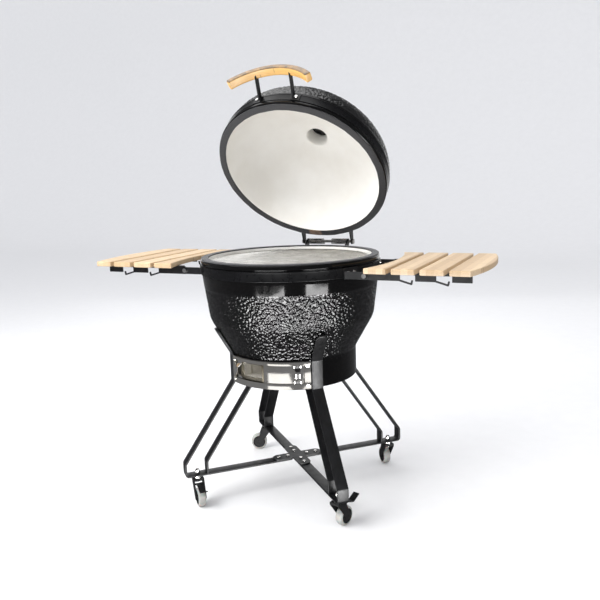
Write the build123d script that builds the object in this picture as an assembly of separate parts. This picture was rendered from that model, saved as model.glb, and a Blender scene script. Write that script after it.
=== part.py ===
from build123d import *
from math import acos, asin, atan2, cos, degrees, radians, sin, sqrt, tan
import os

# Kamado ceramic grill: ceramic bowl and hinged lid on a four-legged cart with folding side shelves.
#
# Millimetres, +Z up, origin on the floor under the axis of the bowl. The front, with the draft door,
# faces -Y, and the lid is hinged at the back, +Y. The lid is drawn standing open on its stop.
# Azimuths are measured about +Z from the front, positive towards +X.

# ---------------------------------------------------------------- driving dimensions
# ceramic bowl
FOOT_R = 206.0
FOOT_BOTTOM_Z = 395.0
FOOT_TOP_Z = 485.0
SHOULDER_R = 266.5
SHOULDER_Z = 592.0
RIM_R = 288.0
RIM_Z = 784.0
WALL = 25.0
FLOOR_T = 28.0
LIP_H = 14.0
BAND_H = 30.0
BAND_T = 2.0
BAND_SEAT = 3.0
LIP_FILLET = 3.0
SMALL_FILLET = 1.0
FOOT_BEND = 10.0
SHOULDER_BEND = 70.0

# ceramic lid
LID_LIP_H = 12.0
DOME_TOP = 230.0
DOME_T = 36.0
BORE_R = 36.0
NECK_R = 60.0
NECK_H = 22.0
LID_OPEN_DEG = 48.5

# seals
GASKET_T = 4.0
GASKET_W = 22.0
GASKET_INSET = 3.0
SEAL_GAP = 0.4

# hinge of the lid
HINGE_Y = 324.0
HINGE_Z = 797.0
HINGE_W = 190.0
HINGE_PIN_R = 5.0
HINGE_PLATE_T = 4.0
RUNNING_GAP = 0.05
SIDE_GAP = 0.5
SPRING_R = 11.0
SPRING_L = 62.0
SPRING_WIRE = 3.5
EAR_R = 10.0
BASE_EAR_X = 78.0
HINGE_SCREW_AZ = (6.0, 13.0)
PIN_HEAD_R = 9.0
PIN_HEAD_H = 4.0

# inner ceramics and grates
BOWL_GAP = 12.0
INSERT_WALL = 20.0
FIRE_BOWL_TOP_Z = 640.0
FIRE_RING_TOP_Z = 769.0
INSERT_STEP = 4.0
COAL_GRATE_T = 10.0
COAL_LEDGE_W = 14.0
COAL_GRATE_GAP = 2.0
COAL_SLOT_W = 9.0
COAL_SLOT_PITCH = 20.0
GRATE_R = 256.0
GRATE_BAR_R = 3.0
GRATE_PITCH = 16.0
GRATE_RING_W = 7.0
GRATE_RING_H = 10.0
GRATE_CROSS_X = (-120.0, 120.0)
AIR_HOLES = 8
AIR_HOLE_R = 8.0
NOTCH_MARGIN_DEG = 2.0
PORT_AZ = (-23.0, -2.0)
PORT_Z = (427.0, 467.0)

# draft door
FRAME_AZ = 39.0
FRAME_FLANGE_AZ = 5.0
SKIN_GAP = 0.1
FRAME_Z = (396.0, 482.0)
FRAME_T = 1.5
DOOR_AZ = (-0.5, 33.0)
SCREEN_AZ = (-33.2, -1.0)
DOOR_Z = (411.0, 475.0)
DOOR_T = 1.5
TRACK_GAP = 0.8
RAIL_H = 4.0
PULL_AZ = 28.2
PULL_W = 24.0
PULL_WAIST = 14.0
PULL_DEPTH = 15.0
PULL_T = 2.0
PULL_HALF_H = 27.0
PULL_FOOT = 7.0
SCREEN_SLOT = 3.0
SCREEN_PITCH_DEG = 1.6
SCREEN_MARGIN = 6.0

# cart
STRAP_W = 36.0
STRAP_T = 6.0
STRAP_GAP = 0.5
BRACE_TOP_Z = 99.0
OUTER_FOOT_R = 386.0
INNER_FOOT_R = 316.0
KNEE_Z = 138.0
BEND_R = 9.0
SEAT_IN_R = 100.0
TONGUE_GAP = 1.5
TONGUE_END_R = 17.0
TONGUE_TOP_Z = 572.0
BRACE_END_R = 24.0
CROSS_ARM = 86.0
CROSS_W = 44.0
CROSS_T = 4.0
CROSS_BOLT_R = (34.0, 66.0)
LEG_AZ = {"front_right": 45.0, "front_left": -45.0, "rear_right": 135.0, "rear_left": -135.0}

# casters
STEM_AT_R = 344.0
STEM_R = 5.0
WHEEL_R = 30.0
WHEEL_W = 24.0
TYRE_T = 7.0
AXLE_R = 4.0
AXLE_PROUD = 1.0
WHEEL_DISH = 3.0
WHEEL_BEAD = 2.0
TREAD_ROUND = (4.0, 5.0)
TRAIL = 30.0
FORK_GAP = 2.0
FORK_T = 3.0
CUP_R = 15.0
CUP_H = 7.0
CROWN_T = 8.0
CROWN_R = 17.0
FACE_GAP = 0.6
STEM_HEAD_R = 9.0
STEM_HEAD_H = 4.0
NUT_R = 8.0
NUT_H = 16.0
NUT_DOME_R = 6.5
NUT_DOME_FILLET = 5.5
FORK_BOSS_R = 9.0
HUB_R = 9.0
CASTER_AZ = {"front_right": 165.0, "front_left": 45.0, "rear_right": 220.0, "rear_left": -64.0}
BRAKED = ("front_right", "front_left")
BRAKE_PIVOT = (12.0, 67.0)
BRAKE_W = 20.0
BRAKE_T = 3.5
BRAKE_PIN_R = 3.0
BRAKE_BENDS = ((26.0, 4.0), (56.0, -6.0), (84.0, 8.0))

# shelves
SLAT_TOP_Z = 775.0
SLAT_T = 16.0
SLAT_W = 66.5
SLAT_PITCH = 80.4
SLAT_COUNT = 4
SHELF_IN_X = 320.0
SHELF_MID_X = 353.0
SHELF_END_X = 618.0
SHELF_OUT_X = 646.0
SHELF_HALF = 206.0
BRACKET_Y = 150.0
BRACKET_H = 25.0
BRACKET_T = 3.0
BRACKET_FLANGE = 22.0
BRACKET_END_X = 612.0
WINDOW_X = (410.0, 513.0)
WINDOW_W = 44.0
WINDOW_H = 17.0
HOOK_W = 7.0
HOOK_DROP = 15.0
HOOK_REACH = 33.0
HOOK_TIP = 9.0
HOOK_FLARE = 2.0
HOOK_T = 5.0
PIVOT_X = 305.0
PIVOT_Z = 746.0
PIVOT_R = 4.0
MOUNT_T = 3.0
MOUNT_H = 22.0
MOUNT_AZ = (57.5, 68.0)
MOUNT_SCREW_AZ = (60.6, 65.0)
ARM_GAP = 0.6
EYE_R = 9.0
FLANGE_START = 17.0
SLAT_FILLET = 2.0
PIVOT_HEAD_R = 7.0
PIVOT_HEAD_H = 4.0

# lid handle
POST_X = 57.0
POST_T = 5.0
POST_W = 16.0
POST_FOOT_AZ = (9.8, 15.6)
POST_BOLT_AZ = 13.1
POST_FOOT_T = 3.0
POST_FOOT_Z = 826.0
POST_MORTISE = 9.0
GRIP_HALF = 133.0
GRIP_Y = 350.0
GRIP_Z = 869.0
GRIP_D = 28.0
GRIP_H = 20.0
GRIP_SAG = 57.0
GRIP_FILLET = 5.0

# top vent
VENT_R = 66.0
VENT_SKIRT_H = 18.0
VENT_PLATE_T = 6.0
VENT_DISC_T = 5.0
VENT_SLOTS = 5
VENT_SLOT_DEG = 30.0
VENT_SLOT_R = (14.0, 33.0)
VENT_PIN_R = 4.0
VENT_KNOB_R = 10.0
VENT_KNOB_H = 22.0
VENT_KNOB_AT = 27.0
KNOB_FOOT_R = 7.0
KNOB_WAIST_R = 5.0
KNOB_WAIST_Z = 7.5
VENT_DISC_R = 42.0
VENT_GAP = 0.5

# screws
SCREW_R = 3.0
SCREW_HEAD_R = 6.0
SCREW_HEAD_H = 3.2
SCREW_HEAD_FILLET = 1.9
SCREW_SHANK = 8.0
SCREW_FIT = 0.1

# ---------------------------------------------------------------- sizes that follow
BAND_HIGH_Z = RIM_Z - LIP_H
BAND_LOW_Z = BAND_HIGH_Z - BAND_H - 2 * BAND_SEAT
BASE_BAND_MID_Z = (BAND_LOW_Z + BAND_HIGH_Z) / 2
BAND_R = RIM_R - BAND_SEAT
FLOOR_Z = FOOT_BOTTOM_Z + FLOOR_T
INNER_R = RIM_R - WALL
CLOSE_Z = RIM_Z + GASKET_T
LID_Z = CLOSE_Z + SEAL_GAP + GASKET_T
LID_BAND_LOW_Z = LID_Z + LID_LIP_H
LID_BAND_HIGH_Z = LID_BAND_LOW_Z + BAND_H + 2 * BAND_SEAT
LID_BAND_MID_Z = (LID_BAND_LOW_Z + LID_BAND_HIGH_Z) / 2
LID_TOP_Z = CLOSE_Z + DOME_TOP
NECK_TOP_Z = LID_TOP_Z + NECK_H
INSERT_FOOT_R = FOOT_R - WALL - BOWL_GAP
INSERT_R = SHOULDER_R - WALL - BOWL_GAP + INSERT_STEP
SCREEN_T = FRAME_T - 0.5
TRACK_IN_R = FOOT_R + SKIN_GAP + FRAME_T + TRACK_GAP
DOOR_R = TRACK_IN_R + SCREEN_T + TRACK_GAP
RAIL_R = DOOR_R + DOOR_T + TRACK_GAP
PULL_AZ_HALF = degrees(PULL_W / 2 / DOOR_R)
LID_EAR_X = (HINGE_W - HINGE_PLATE_T) / 2
BRACE_LOW_Z = BRACE_TOP_Z - STRAP_T
CROWN_LOW_Z = BRACE_LOW_Z - CUP_H - FACE_GAP - CROWN_T
SIDE_TURN = {"right": 0, "left": 180}


# ---------------------------------------------------------------- helpers
def at_azimuth(shape, azimuth):
    """Turn a shape drawn towards +X to an azimuth counted from the front."""
    return Rot(0, 0, azimuth - 90) * shape


def ring(inner, outer, low, high):
    """A plain ring about the bowl's axis."""
    return Pos(0, 0, (low + high) / 2) * (
        Cylinder(outer, high - low) - Cylinder(inner, high - low)
    )


def sector(inner, outer, low, high, az):
    """A piece of ring between two azimuths."""
    section = Plane.XZ * Pos((inner + outer) / 2, (low + high) / 2) * Rectangle(outer - inner, high - low)
    return at_azimuth(revolve(section, Axis.Z, az[1] - az[0]), az[0])


def turned(*lines):
    """A solid of revolution about the bowl's axis from a closed (radius, height) outline."""
    return revolve(Plane.XZ * make_face(Curve() + list(lines)), Axis.Z)


def box_between(x, y, z):
    """A box from three (low, high) pairs."""
    centre = Pos((x[0] + x[1]) / 2, (y[0] + y[1]) / 2, (z[0] + z[1]) / 2)
    return centre * Box(x[1] - x[0], y[1] - y[0], z[1] - z[0])


def rod(start, end, radius):
    """A round bar between two points."""
    axis = Vector(*end) - Vector(*start)
    return Plane(origin=start, z_dir=axis) * Pos(0, 0, axis.length / 2) * Cylinder(radius, axis.length)


def dome_screw(at, outward, shank=SCREW_SHANK):
    """A low round-headed screw, its head resting on the point and its shank behind it."""
    head = Pos(0, 0, SCREW_HEAD_H / 2) * Cylinder(SCREW_HEAD_R, SCREW_HEAD_H)
    head = fillet(head.edges().group_by(Axis.Z)[-1], SCREW_HEAD_FILLET)
    body = Pos(0, 0, -shank / 2) * Cylinder(SCREW_R, shank)
    return Plane(origin=at, z_dir=outward) * (head + body)


def screw_hole(at, outward, depth):
    """The clearance hole that a dome_screw passes through."""
    hole = Pos(0, 0, -depth / 2) * Cylinder(SCREW_R + SCREW_FIT, depth)
    return Plane(origin=at, z_dir=outward) * hole


def on_circle(radius, azimuth, z):
    """A point at an azimuth counted from the front, and its outward direction."""
    out = (sin(radians(azimuth)), -cos(radians(azimuth)), 0)
    return (radius * out[0], radius * out[1], z), out


def opened(shape):
    """Swing a shape drawn on the closed lid up to the open stop."""
    hinge = Pos(0, HINGE_Y, HINGE_Z)
    return hinge * Rot(-LID_OPEN_DEG, 0, 0) * hinge.inverse() * shape


def bent_strap(points, width=STRAP_W, thickness=STRAP_T, bend=BEND_R):
    """A flat bar bent along (x, z) points of its middle line, its width along Y."""
    path = FilletPolyline(*points, radius=bend)
    return Plane.XZ * extrude(trace(path, thickness), width / 2, both=True)


# ---------------------------------------------------------------- ceramic bowl
def bowl_side(inset, foot_z):
    """The side of the bowl from its foot to the band, moved in by a wall thickness."""
    return FilletPolyline(
        (FOOT_R - inset, foot_z), (FOOT_R - inset, FOOT_TOP_Z), (SHOULDER_R - inset, SHOULDER_Z),
        (BAND_R - inset, BAND_LOW_Z),
        radius=[FOOT_BEND, SHOULDER_BEND],
    )


def base_bowl():
    foot_in = FOOT_R - WALL
    rim = FilletPolyline(
        (BAND_R, BAND_LOW_Z), (BAND_R, BAND_HIGH_Z), (RIM_R, BAND_HIGH_Z), (RIM_R, RIM_Z),
        (INNER_R, RIM_Z), (BAND_R - WALL, BAND_LOW_Z),
        radius=[SMALL_FILLET, SMALL_FILLET, LIP_FILLET, SMALL_FILLET],
    )
    solid = turned(
        Polyline((0, FLOOR_Z), (0, FOOT_BOTTOM_Z), (FOOT_R, FOOT_BOTTOM_Z)),
        bowl_side(0, FOOT_BOTTOM_Z),
        rim,
        bowl_side(WALL, FLOOR_Z),
        Line((foot_in, FLOOR_Z), (0, FLOOR_Z)),
    )
    return solid - sector(foot_in - WALL, FOOT_R + WALL, *PORT_Z, PORT_AZ)


def gasket(low):
    outer = RIM_R - GASKET_INSET
    return ring(outer - GASKET_W, outer, low, low + GASKET_T)


def band(low):
    return ring(BAND_R, BAND_R + BAND_T, low, low + BAND_H)


# ---------------------------------------------------------------- inside the bowl
def insert_side(inset, foot_z):
    """The side of the fire bowl, standing off the inside of the ceramic bowl."""
    return FilletPolyline(
        (INSERT_FOOT_R - inset, foot_z), (INSERT_FOOT_R - inset, FOOT_TOP_Z),
        (INSERT_R - INSERT_STEP - inset, SHOULDER_Z), (INSERT_R - inset, FIRE_BOWL_TOP_Z),
        radius=[FOOT_BEND, SHOULDER_BEND],
    )


def fire_bowl():
    in_r = INSERT_FOOT_R - INSERT_WALL
    ledge_r = in_r - COAL_LEDGE_W
    ledge_z = FOOT_TOP_Z - FOOT_BEND
    solid = turned(
        Line((ledge_r, FLOOR_Z), (INSERT_FOOT_R, FLOOR_Z)),
        insert_side(0, FLOOR_Z),
        Line((INSERT_R, FIRE_BOWL_TOP_Z), (INSERT_R - INSERT_WALL, FIRE_BOWL_TOP_Z)),
        insert_side(INSERT_WALL, ledge_z),
        Polyline((in_r, ledge_z), (ledge_r, ledge_z), (ledge_r, FLOOR_Z)),
    )
    notch_az = (PORT_AZ[0] - NOTCH_MARGIN_DEG, PORT_AZ[1] + NOTCH_MARGIN_DEG)
    solid -= sector(ledge_r - WALL, INSERT_FOOT_R + WALL, FLOOR_Z - WALL, PORT_Z[1], notch_az)
    hole_z = (FLOOR_Z + ledge_z) / 2
    for i in range(AIR_HOLES):
        azimuth = 90 + 180 * (i + 0.5) / AIR_HOLES
        inner, out = on_circle(ledge_r - WALL, azimuth, hole_z)
        outer, out = on_circle(INSERT_FOOT_R + WALL, azimuth, hole_z)
        solid -= rod(inner, outer, AIR_HOLE_R)
    return solid


def fire_ring():
    return ring(INSERT_R - INSERT_WALL, INSERT_R, FIRE_BOWL_TOP_Z, FIRE_RING_TOP_Z)


def charcoal_grate():
    radius = INSERT_FOOT_R - INSERT_WALL - COAL_GRATE_GAP
    low = FOOT_TOP_Z - FOOT_BEND
    plate = Pos(0, 0, low + COAL_GRATE_T / 2) * Cylinder(radius, COAL_GRATE_T)
    open_r = radius - COAL_LEDGE_W - COAL_SLOT_W
    count = int(open_r // COAL_SLOT_PITCH)
    for i in range(-count, count + 1):
        y = i * COAL_SLOT_PITCH
        half = sqrt(open_r ** 2 - y ** 2)
        if half < COAL_SLOT_PITCH:
            continue
        for sign in (-1, 1):
            plate -= Pos(sign * half / 2, y, low) * Box(half - COAL_SLOT_W, COAL_SLOT_W, 4 * COAL_GRATE_T)
    return plate


def cooking_grate():
    low = FIRE_RING_TOP_Z + GRATE_BAR_R - GRATE_RING_H / 2
    grate = ring(GRATE_R - GRATE_RING_W, GRATE_R, low, low + GRATE_RING_H)
    reach = GRATE_R - GRATE_RING_W / 2
    bar_z = FIRE_RING_TOP_Z + GRATE_BAR_R
    count = int((reach - GRATE_RING_W) // GRATE_PITCH)
    for i in range(-count, count + 1):
        y = i * GRATE_PITCH
        half = sqrt(reach ** 2 - y ** 2)
        grate += rod((-half, y, bar_z), (half, y, bar_z), GRATE_BAR_R)
    for x in GRATE_CROSS_X:
        half = sqrt(reach ** 2 - x ** 2)
        grate += box_between((x - GRATE_BAR_R, x + GRATE_BAR_R), (-half, half), (bar_z, bar_z + GRATE_BAR_R))
    return grate


# ---------------------------------------------------------------- draft door at the front of the foot
def draft_frame():
    """A curved bezel with a back plate, two tracks behind its front lips and a flange at each end."""
    back_r = FOOT_R + SKIN_GAP
    end_az = FRAME_AZ - FRAME_FLANGE_AZ
    low, high = FRAME_Z
    frame = sector(back_r, back_r + FRAME_T, low, high, (-FRAME_AZ, FRAME_AZ))
    frame -= sector(back_r - WALL, FOOT_R + WALL, *PORT_Z, PORT_AZ)
    for z in (DOOR_Z[0] - TRACK_GAP - FRAME_T, DOOR_Z[1] + TRACK_GAP):
        frame += sector(back_r, RAIL_R + FRAME_T, z, z + FRAME_T, (-FRAME_AZ, FRAME_AZ))
    for z in ((low, DOOR_Z[0] + RAIL_H), (DOOR_Z[1] - RAIL_H, high)):
        frame += sector(RAIL_R, RAIL_R + FRAME_T, *z, (-FRAME_AZ, FRAME_AZ))
    for az in ((-FRAME_AZ, -end_az), (end_az, FRAME_AZ)):
        frame += sector(back_r, RAIL_R + FRAME_T, low, high, az)
    for point, out in draft_screw_points():
        frame -= screw_hole(point, out, SCREW_SHANK + SCREW_FIT)
    return frame


def draft_screw_points():
    azimuth = FRAME_AZ - FRAME_FLANGE_AZ / 2
    inset = 2 * SCREW_HEAD_R
    return [
        on_circle(RAIL_R + FRAME_T, side * azimuth, z)
        for side in (-1, 1)
        for z in (FRAME_Z[0] + inset, FRAME_Z[1] - inset)
    ]


def draft_door():
    return sector(DOOR_R, DOOR_R + DOOR_T, *DOOR_Z, DOOR_AZ)


def spark_screen():
    """A curved sheet cut with upright slots."""
    screen = sector(TRACK_IN_R, TRACK_IN_R + SCREEN_T, *DOOR_Z, SCREEN_AZ)
    first = SCREEN_AZ[0] + 2 * (PULL_AZ_HALF + SCREEN_PITCH_DEG)
    count = int((SCREEN_AZ[1] - SCREEN_PITCH_DEG - first) / SCREEN_PITCH_DEG)
    slot_half = degrees(SCREEN_SLOT / 2 / TRACK_IN_R)
    margin = RAIL_H + SCREEN_MARGIN
    for i in range(count + 1):
        middle = first + i * SCREEN_PITCH_DEG
        az = (middle - slot_half, middle + slot_half)
        screen -= sector(TRACK_IN_R - TRACK_GAP, DOOR_R, DOOR_Z[0] + margin, DOOR_Z[1] - margin, az)
    return screen


def pull(face_r, azimuth):
    """A bow pull bent from strip, wide at its two feet and narrow at the waist."""
    middle = (DOOR_Z[0] + DOOR_Z[1]) / 2
    half = PULL_HALF_H
    reach = face_r + PULL_DEPTH
    foot_r = face_r + PULL_T / 2
    bow = bent_strap(
        [
            (foot_r, middle - half), (foot_r, middle - half + PULL_FOOT), (reach, middle - half / 3),
            (reach, middle + half / 3), (foot_r, middle + half - PULL_FOOT), (foot_r, middle + half),
        ],
        PULL_W, PULL_T, PULL_T,
    )
    side_r = (half ** 2 + ((PULL_W - PULL_WAIST) / 2) ** 2) / (PULL_W - PULL_WAIST)
    for sign in (-1, 1):
        cutter = Rot(0, 90, 0) * Cylinder(side_r, 4 * FOOT_R)
        bow -= Pos(0, sign * (PULL_WAIST / 2 + side_r), middle) * cutter
    return at_azimuth(bow, azimuth)


# ---------------------------------------------------------------- lid, drawn closed
def dome_curve(foot_r, foot_z, top_r, top_z):
    """A quarter-ellipse arc that rises upright from its foot and meets a smaller radius at its top."""
    height = (top_z - foot_z) / sqrt(1 - (top_r / foot_r) ** 2)
    sweep = degrees(acos(top_r / foot_r))
    return EllipticalCenterArc((0, foot_z), foot_r, height, start_angle=0, arc_size=sweep)


def lid_dome():
    mouth_r = BORE_R + SMALL_FILLET
    rim = FilletPolyline(
        (INNER_R, LID_Z + LID_LIP_H), (INNER_R, LID_Z), (RIM_R, LID_Z), (RIM_R, LID_BAND_LOW_Z),
        (BAND_R, LID_BAND_LOW_Z), (BAND_R, LID_BAND_HIGH_Z),
        radius=[SMALL_FILLET, LIP_FILLET, SMALL_FILLET, SMALL_FILLET],
    )
    return turned(
        rim,
        dome_curve(BAND_R, LID_BAND_HIGH_Z, NECK_R, LID_TOP_Z),
        Polyline(
            (NECK_R, LID_TOP_Z), (NECK_R, NECK_TOP_Z), (BORE_R, NECK_TOP_Z),
            (BORE_R, LID_TOP_Z - DOME_T + SMALL_FILLET), (mouth_r, LID_TOP_Z - DOME_T),
        ),
        dome_curve(INNER_R, LID_Z + LID_LIP_H, mouth_r, LID_TOP_Z - DOME_T),
    )


# ---------------------------------------------------------------- handle on the lid, drawn closed
def grip_radius():
    return (GRIP_HALF ** 2 + GRIP_SAG ** 2) / (2 * GRIP_SAG)


def grip_blank():
    """An arched bar, its ends square to the arch."""
    radius = grip_radius()
    angle = degrees(asin(GRIP_HALF / radius))
    arc = CenterArc((0, GRIP_Z - radius), radius, 90 - angle, 2 * angle)
    bar = Plane.XZ * extrude(trace(arc, GRIP_H), GRIP_D / 2, both=True)
    return Pos(0, -GRIP_Y, 0) * fillet(bar.edges(), GRIP_FILLET)


def handle_post(side):
    """A flat post with a curved foot on the band, its end let into the grip."""
    face_r = BAND_R + BAND_T + SKIN_GAP
    az = sorted(side * a for a in POST_FOOT_AZ)
    foot = sector(face_r, face_r + POST_FOOT_T, LID_BAND_MID_Z - BAND_H / 2, LID_BAND_MID_Z + BAND_H / 2, az)
    drop = grip_radius() - sqrt(grip_radius() ** 2 - POST_X ** 2)
    start_y = sqrt(face_r ** 2 - POST_X ** 2)
    end_z = GRIP_Z - drop - GRIP_H / 2 + POST_MORTISE
    start = Vector(side * POST_X, -start_y, POST_FOOT_Z)
    end = Vector(side * POST_X, -GRIP_Y, end_z)
    axis = end - start
    bar = Plane(origin=start, x_dir=(1, 0, 0), z_dir=axis) * Pos(0, 0, axis.length / 2) * Box(
        POST_T, POST_W, axis.length
    )
    solid = foot + bar
    solid -= Pos(0, 0, POST_FOOT_Z) * Cylinder(face_r, 4 * BAND_H)
    point, out = on_circle(face_r + POST_FOOT_T, side * POST_BOLT_AZ, LID_BAND_MID_Z)
    return solid - screw_hole(point, out, WALL)


# ---------------------------------------------------------------- hinge at the back
def hinge_ear(low, foot_y, face_r):
    """A side ear, hulled from the end of the curved plate to the eye round the hinge pin."""
    foot = Pos((foot_y + face_r) / 2, low + BAND_H / 2) * Rectangle(face_r - foot_y, BAND_H)
    eye = Pos(HINGE_Y, HINGE_Z) * Circle(EAR_R)
    return Plane.YZ * extrude(make_hull((foot + eye).edges()), HINGE_PLATE_T)


def hinge_bracket(low, ear_x, pin_fit):
    """A curved plate on a band with two ears that reach to the hinge pin."""
    face_r = BAND_R + BAND_T + SKIN_GAP
    half = degrees(asin(HINGE_W / 2 / face_r))
    plate = sector(face_r, face_r + HINGE_PLATE_T, low, low + BAND_H, (180 - half, 180 + half))
    ear = hinge_ear(low, sqrt(face_r ** 2 - (HINGE_W / 2) ** 2), face_r)
    inside = Pos(0, 0, low) * Cylinder(face_r, 4 * BAND_H)
    for side in (-1, 1):
        plate += Pos(side * ear_x - HINGE_PLATE_T / 2, 0, 0) * ear - inside
    lips_z = (BAND_HIGH_Z, LID_BAND_LOW_Z)
    plate -= Pos(0, 0, sum(lips_z) / 2) * Cylinder(RIM_R + SIDE_GAP, lips_z[1] - lips_z[0])
    plate -= rod((-HINGE_W, HINGE_Y, HINGE_Z), (HINGE_W, HINGE_Y, HINGE_Z), HINGE_PIN_R + pin_fit)
    for point, out in hinge_screw_points(low):
        plate -= screw_hole(point, out, WALL)
    return plate


def hinge_screw_points(low):
    face_r = BAND_R + BAND_T + SKIN_GAP + HINGE_PLATE_T
    return [on_circle(face_r, 180 + side * a, low + BAND_H / 2) for a in HINGE_SCREW_AZ for side in (-1, 1)]


def hinge_pin():
    half = LID_EAR_X + HINGE_PLATE_T / 2 + SIDE_GAP
    pin = rod((-half, HINGE_Y, HINGE_Z), (half, HINGE_Y, HINGE_Z), HINGE_PIN_R)
    for side in (-1, 1):
        pin += rod(
            (side * half, HINGE_Y, HINGE_Z), (side * (half + PIN_HEAD_H), HINGE_Y, HINGE_Z), PIN_HEAD_R
        )
    return pin


def hinge_springs():
    """The envelope of the two coil springs that lie round the pin."""
    springs = []
    for side in (-1, 1):
        start = side * (BASE_EAR_X - HINGE_PLATE_T / 2 - SIDE_GAP)
        coil = rod((start, HINGE_Y, HINGE_Z), (start - side * SPRING_L, HINGE_Y, HINGE_Z), SPRING_R)
        bore = rod(
            (2 * start, HINGE_Y, HINGE_Z), (-start, HINGE_Y, HINGE_Z), SPRING_R - SPRING_WIRE
        )
        springs.append(coil - bore)
    return springs


# ---------------------------------------------------------------- vent on the neck of the lid, drawn closed
def vent_slots(turn, low, high):
    """Wedge slots spaced evenly round the vent."""
    return [
        sector(*VENT_SLOT_R, low, high, (middle - VENT_SLOT_DEG / 2, middle + VENT_SLOT_DEG / 2))
        for middle in [turn + i * 360 / VENT_SLOTS for i in range(VENT_SLOTS)]
    ]


def vent_collar():
    """A cast cap that slips over the neck, with slots in its top."""
    top = NECK_TOP_Z + VENT_PLATE_T
    cap = Pos(0, 0, (NECK_TOP_Z + top) / 2) * Cylinder(VENT_R, VENT_PLATE_T)
    cap += ring(NECK_R + SIDE_GAP, VENT_R, NECK_TOP_Z - VENT_SKIRT_H, NECK_TOP_Z)
    for slot in vent_slots(0, NECK_TOP_Z - VENT_PLATE_T, top + VENT_PLATE_T):
        cap -= slot
    return cap - rod((0, 0, NECK_TOP_Z - VENT_PLATE_T), (0, 0, top + VENT_PLATE_T), VENT_PIN_R)


def vent_disc():
    low = NECK_TOP_Z + VENT_PLATE_T + VENT_GAP
    high = low + VENT_DISC_T
    disc = Pos(0, 0, (low + high) / 2) * Cylinder(VENT_DISC_R, VENT_DISC_T)
    for slot in vent_slots(180 / VENT_SLOTS, low - VENT_DISC_T, high + VENT_DISC_T):
        disc -= slot
    point, out = on_circle(VENT_KNOB_AT, 0, 0)
    disc -= rod((0, 0, low - VENT_DISC_T), (0, 0, high + VENT_DISC_T), VENT_PIN_R + RUNNING_GAP)
    return disc - rod((point[0], point[1], low), (point[0], point[1], high), SCREW_R)


def vent_knob():
    """A turned knob with a spigot pressed into the disc."""
    low = NECK_TOP_Z + VENT_PLATE_T + VENT_GAP + VENT_DISC_T
    point, out = on_circle(VENT_KNOB_AT, 0, 0)
    waist = (KNOB_WAIST_R, KNOB_WAIST_Z)
    crown = (KNOB_WAIST_R, VENT_KNOB_H - SMALL_FILLET)
    knob = turned(
        Polyline((0, -VENT_DISC_T), (SCREW_R, -VENT_DISC_T), (SCREW_R, 0), (KNOB_FOOT_R, 0), waist),
        ThreePointArc(waist, (VENT_KNOB_R, (waist[1] + crown[1]) / 2), crown),
        Polyline(crown, (0, VENT_KNOB_H), (0, -VENT_DISC_T)),
    )
    return Pos(point[0], point[1], low) * knob


def vent_pivot():
    low = NECK_TOP_Z - VENT_PLATE_T
    head_z = NECK_TOP_Z + VENT_PLATE_T + VENT_DISC_T + 2 * VENT_GAP
    pin = rod((0, 0, low), (0, 0, head_z), VENT_PIN_R)
    return pin + rod((0, 0, head_z), (0, 0, head_z + SCREW_HEAD_H), 2 * VENT_PIN_R)


# ---------------------------------------------------------------- cart
def leg():
    """One bent bar: a tongue up the bowl, a leg out to its foot, then in under the middle."""
    strap_r = FOOT_R + STRAP_GAP + STRAP_T / 2
    brace_z = BRACE_TOP_Z - STRAP_T / 2
    foot_r = OUTER_FOOT_R - STRAP_T / 2
    lean = atan2(SHOULDER_R - FOOT_R, SHOULDER_Z - FOOT_TOP_Z)
    off = TONGUE_GAP + STRAP_T / 2
    side_r = FOOT_R + (TONGUE_TOP_Z - FOOT_TOP_Z) * tan(lean)
    top = (side_r + off * cos(lean), TONGUE_TOP_Z - off * sin(lean))
    knee_z = top[1] - (top[0] - strap_r) / tan(lean)
    bar = bent_strap([
        top, (strap_r, knee_z), (strap_r, FOOT_BOTTOM_Z - STRAP_T / 2), (foot_r, KNEE_Z),
        (foot_r, brace_z), (BRACE_END_R, brace_z),
    ])
    end = bar.faces().sort_by(Axis.Z)[-1]
    bar = fillet(end.edges().sort_by(SortBy.LENGTH)[:2], TONGUE_END_R)
    for r in CROSS_BOLT_R:
        bar -= screw_hole((r, 0, BRACE_TOP_Z), (0, 0, 1), 2 * STRAP_T)
    return bar - rod((STEM_AT_R, 0, 0), (STEM_AT_R, 0, 2 * BRACE_TOP_Z), STEM_R + SCREW_FIT)


def strut():
    """The inner bar, from a seat under the bowl down to the brace."""
    foot_r = INNER_FOOT_R - STRAP_T / 2
    seat_z = FOOT_BOTTOM_Z - STRAP_T / 2
    lean = (OUTER_FOOT_R - FOOT_R - STRAP_GAP - STRAP_T) / (seat_z - KNEE_Z)
    bend_r = foot_r - lean * (seat_z - KNEE_Z)
    return bent_strap([(SEAT_IN_R, seat_z), (bend_r, seat_z), (foot_r, KNEE_Z), (foot_r, BRACE_TOP_Z)])


def cross_plate():
    plate = None
    for turn in (45, 135):
        strip = Pos(0, 0, BRACE_TOP_Z) * Rot(0, 0, turn) * extrude(
            SlotOverall(2 * CROSS_ARM, CROSS_W), CROSS_T
        )
        plate = strip if plate is None else plate + strip
    for point, out in cross_bolt_points():
        plate -= screw_hole(point, out, 2 * CROSS_T)
    return plate


def cross_bolt_points():
    points = []
    for azimuth in LEG_AZ.values():
        for r in CROSS_BOLT_R:
            point, out = on_circle(r, azimuth, BRACE_TOP_Z + CROSS_T)
            points.append((point, (0, 0, 1)))
    return points


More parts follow.
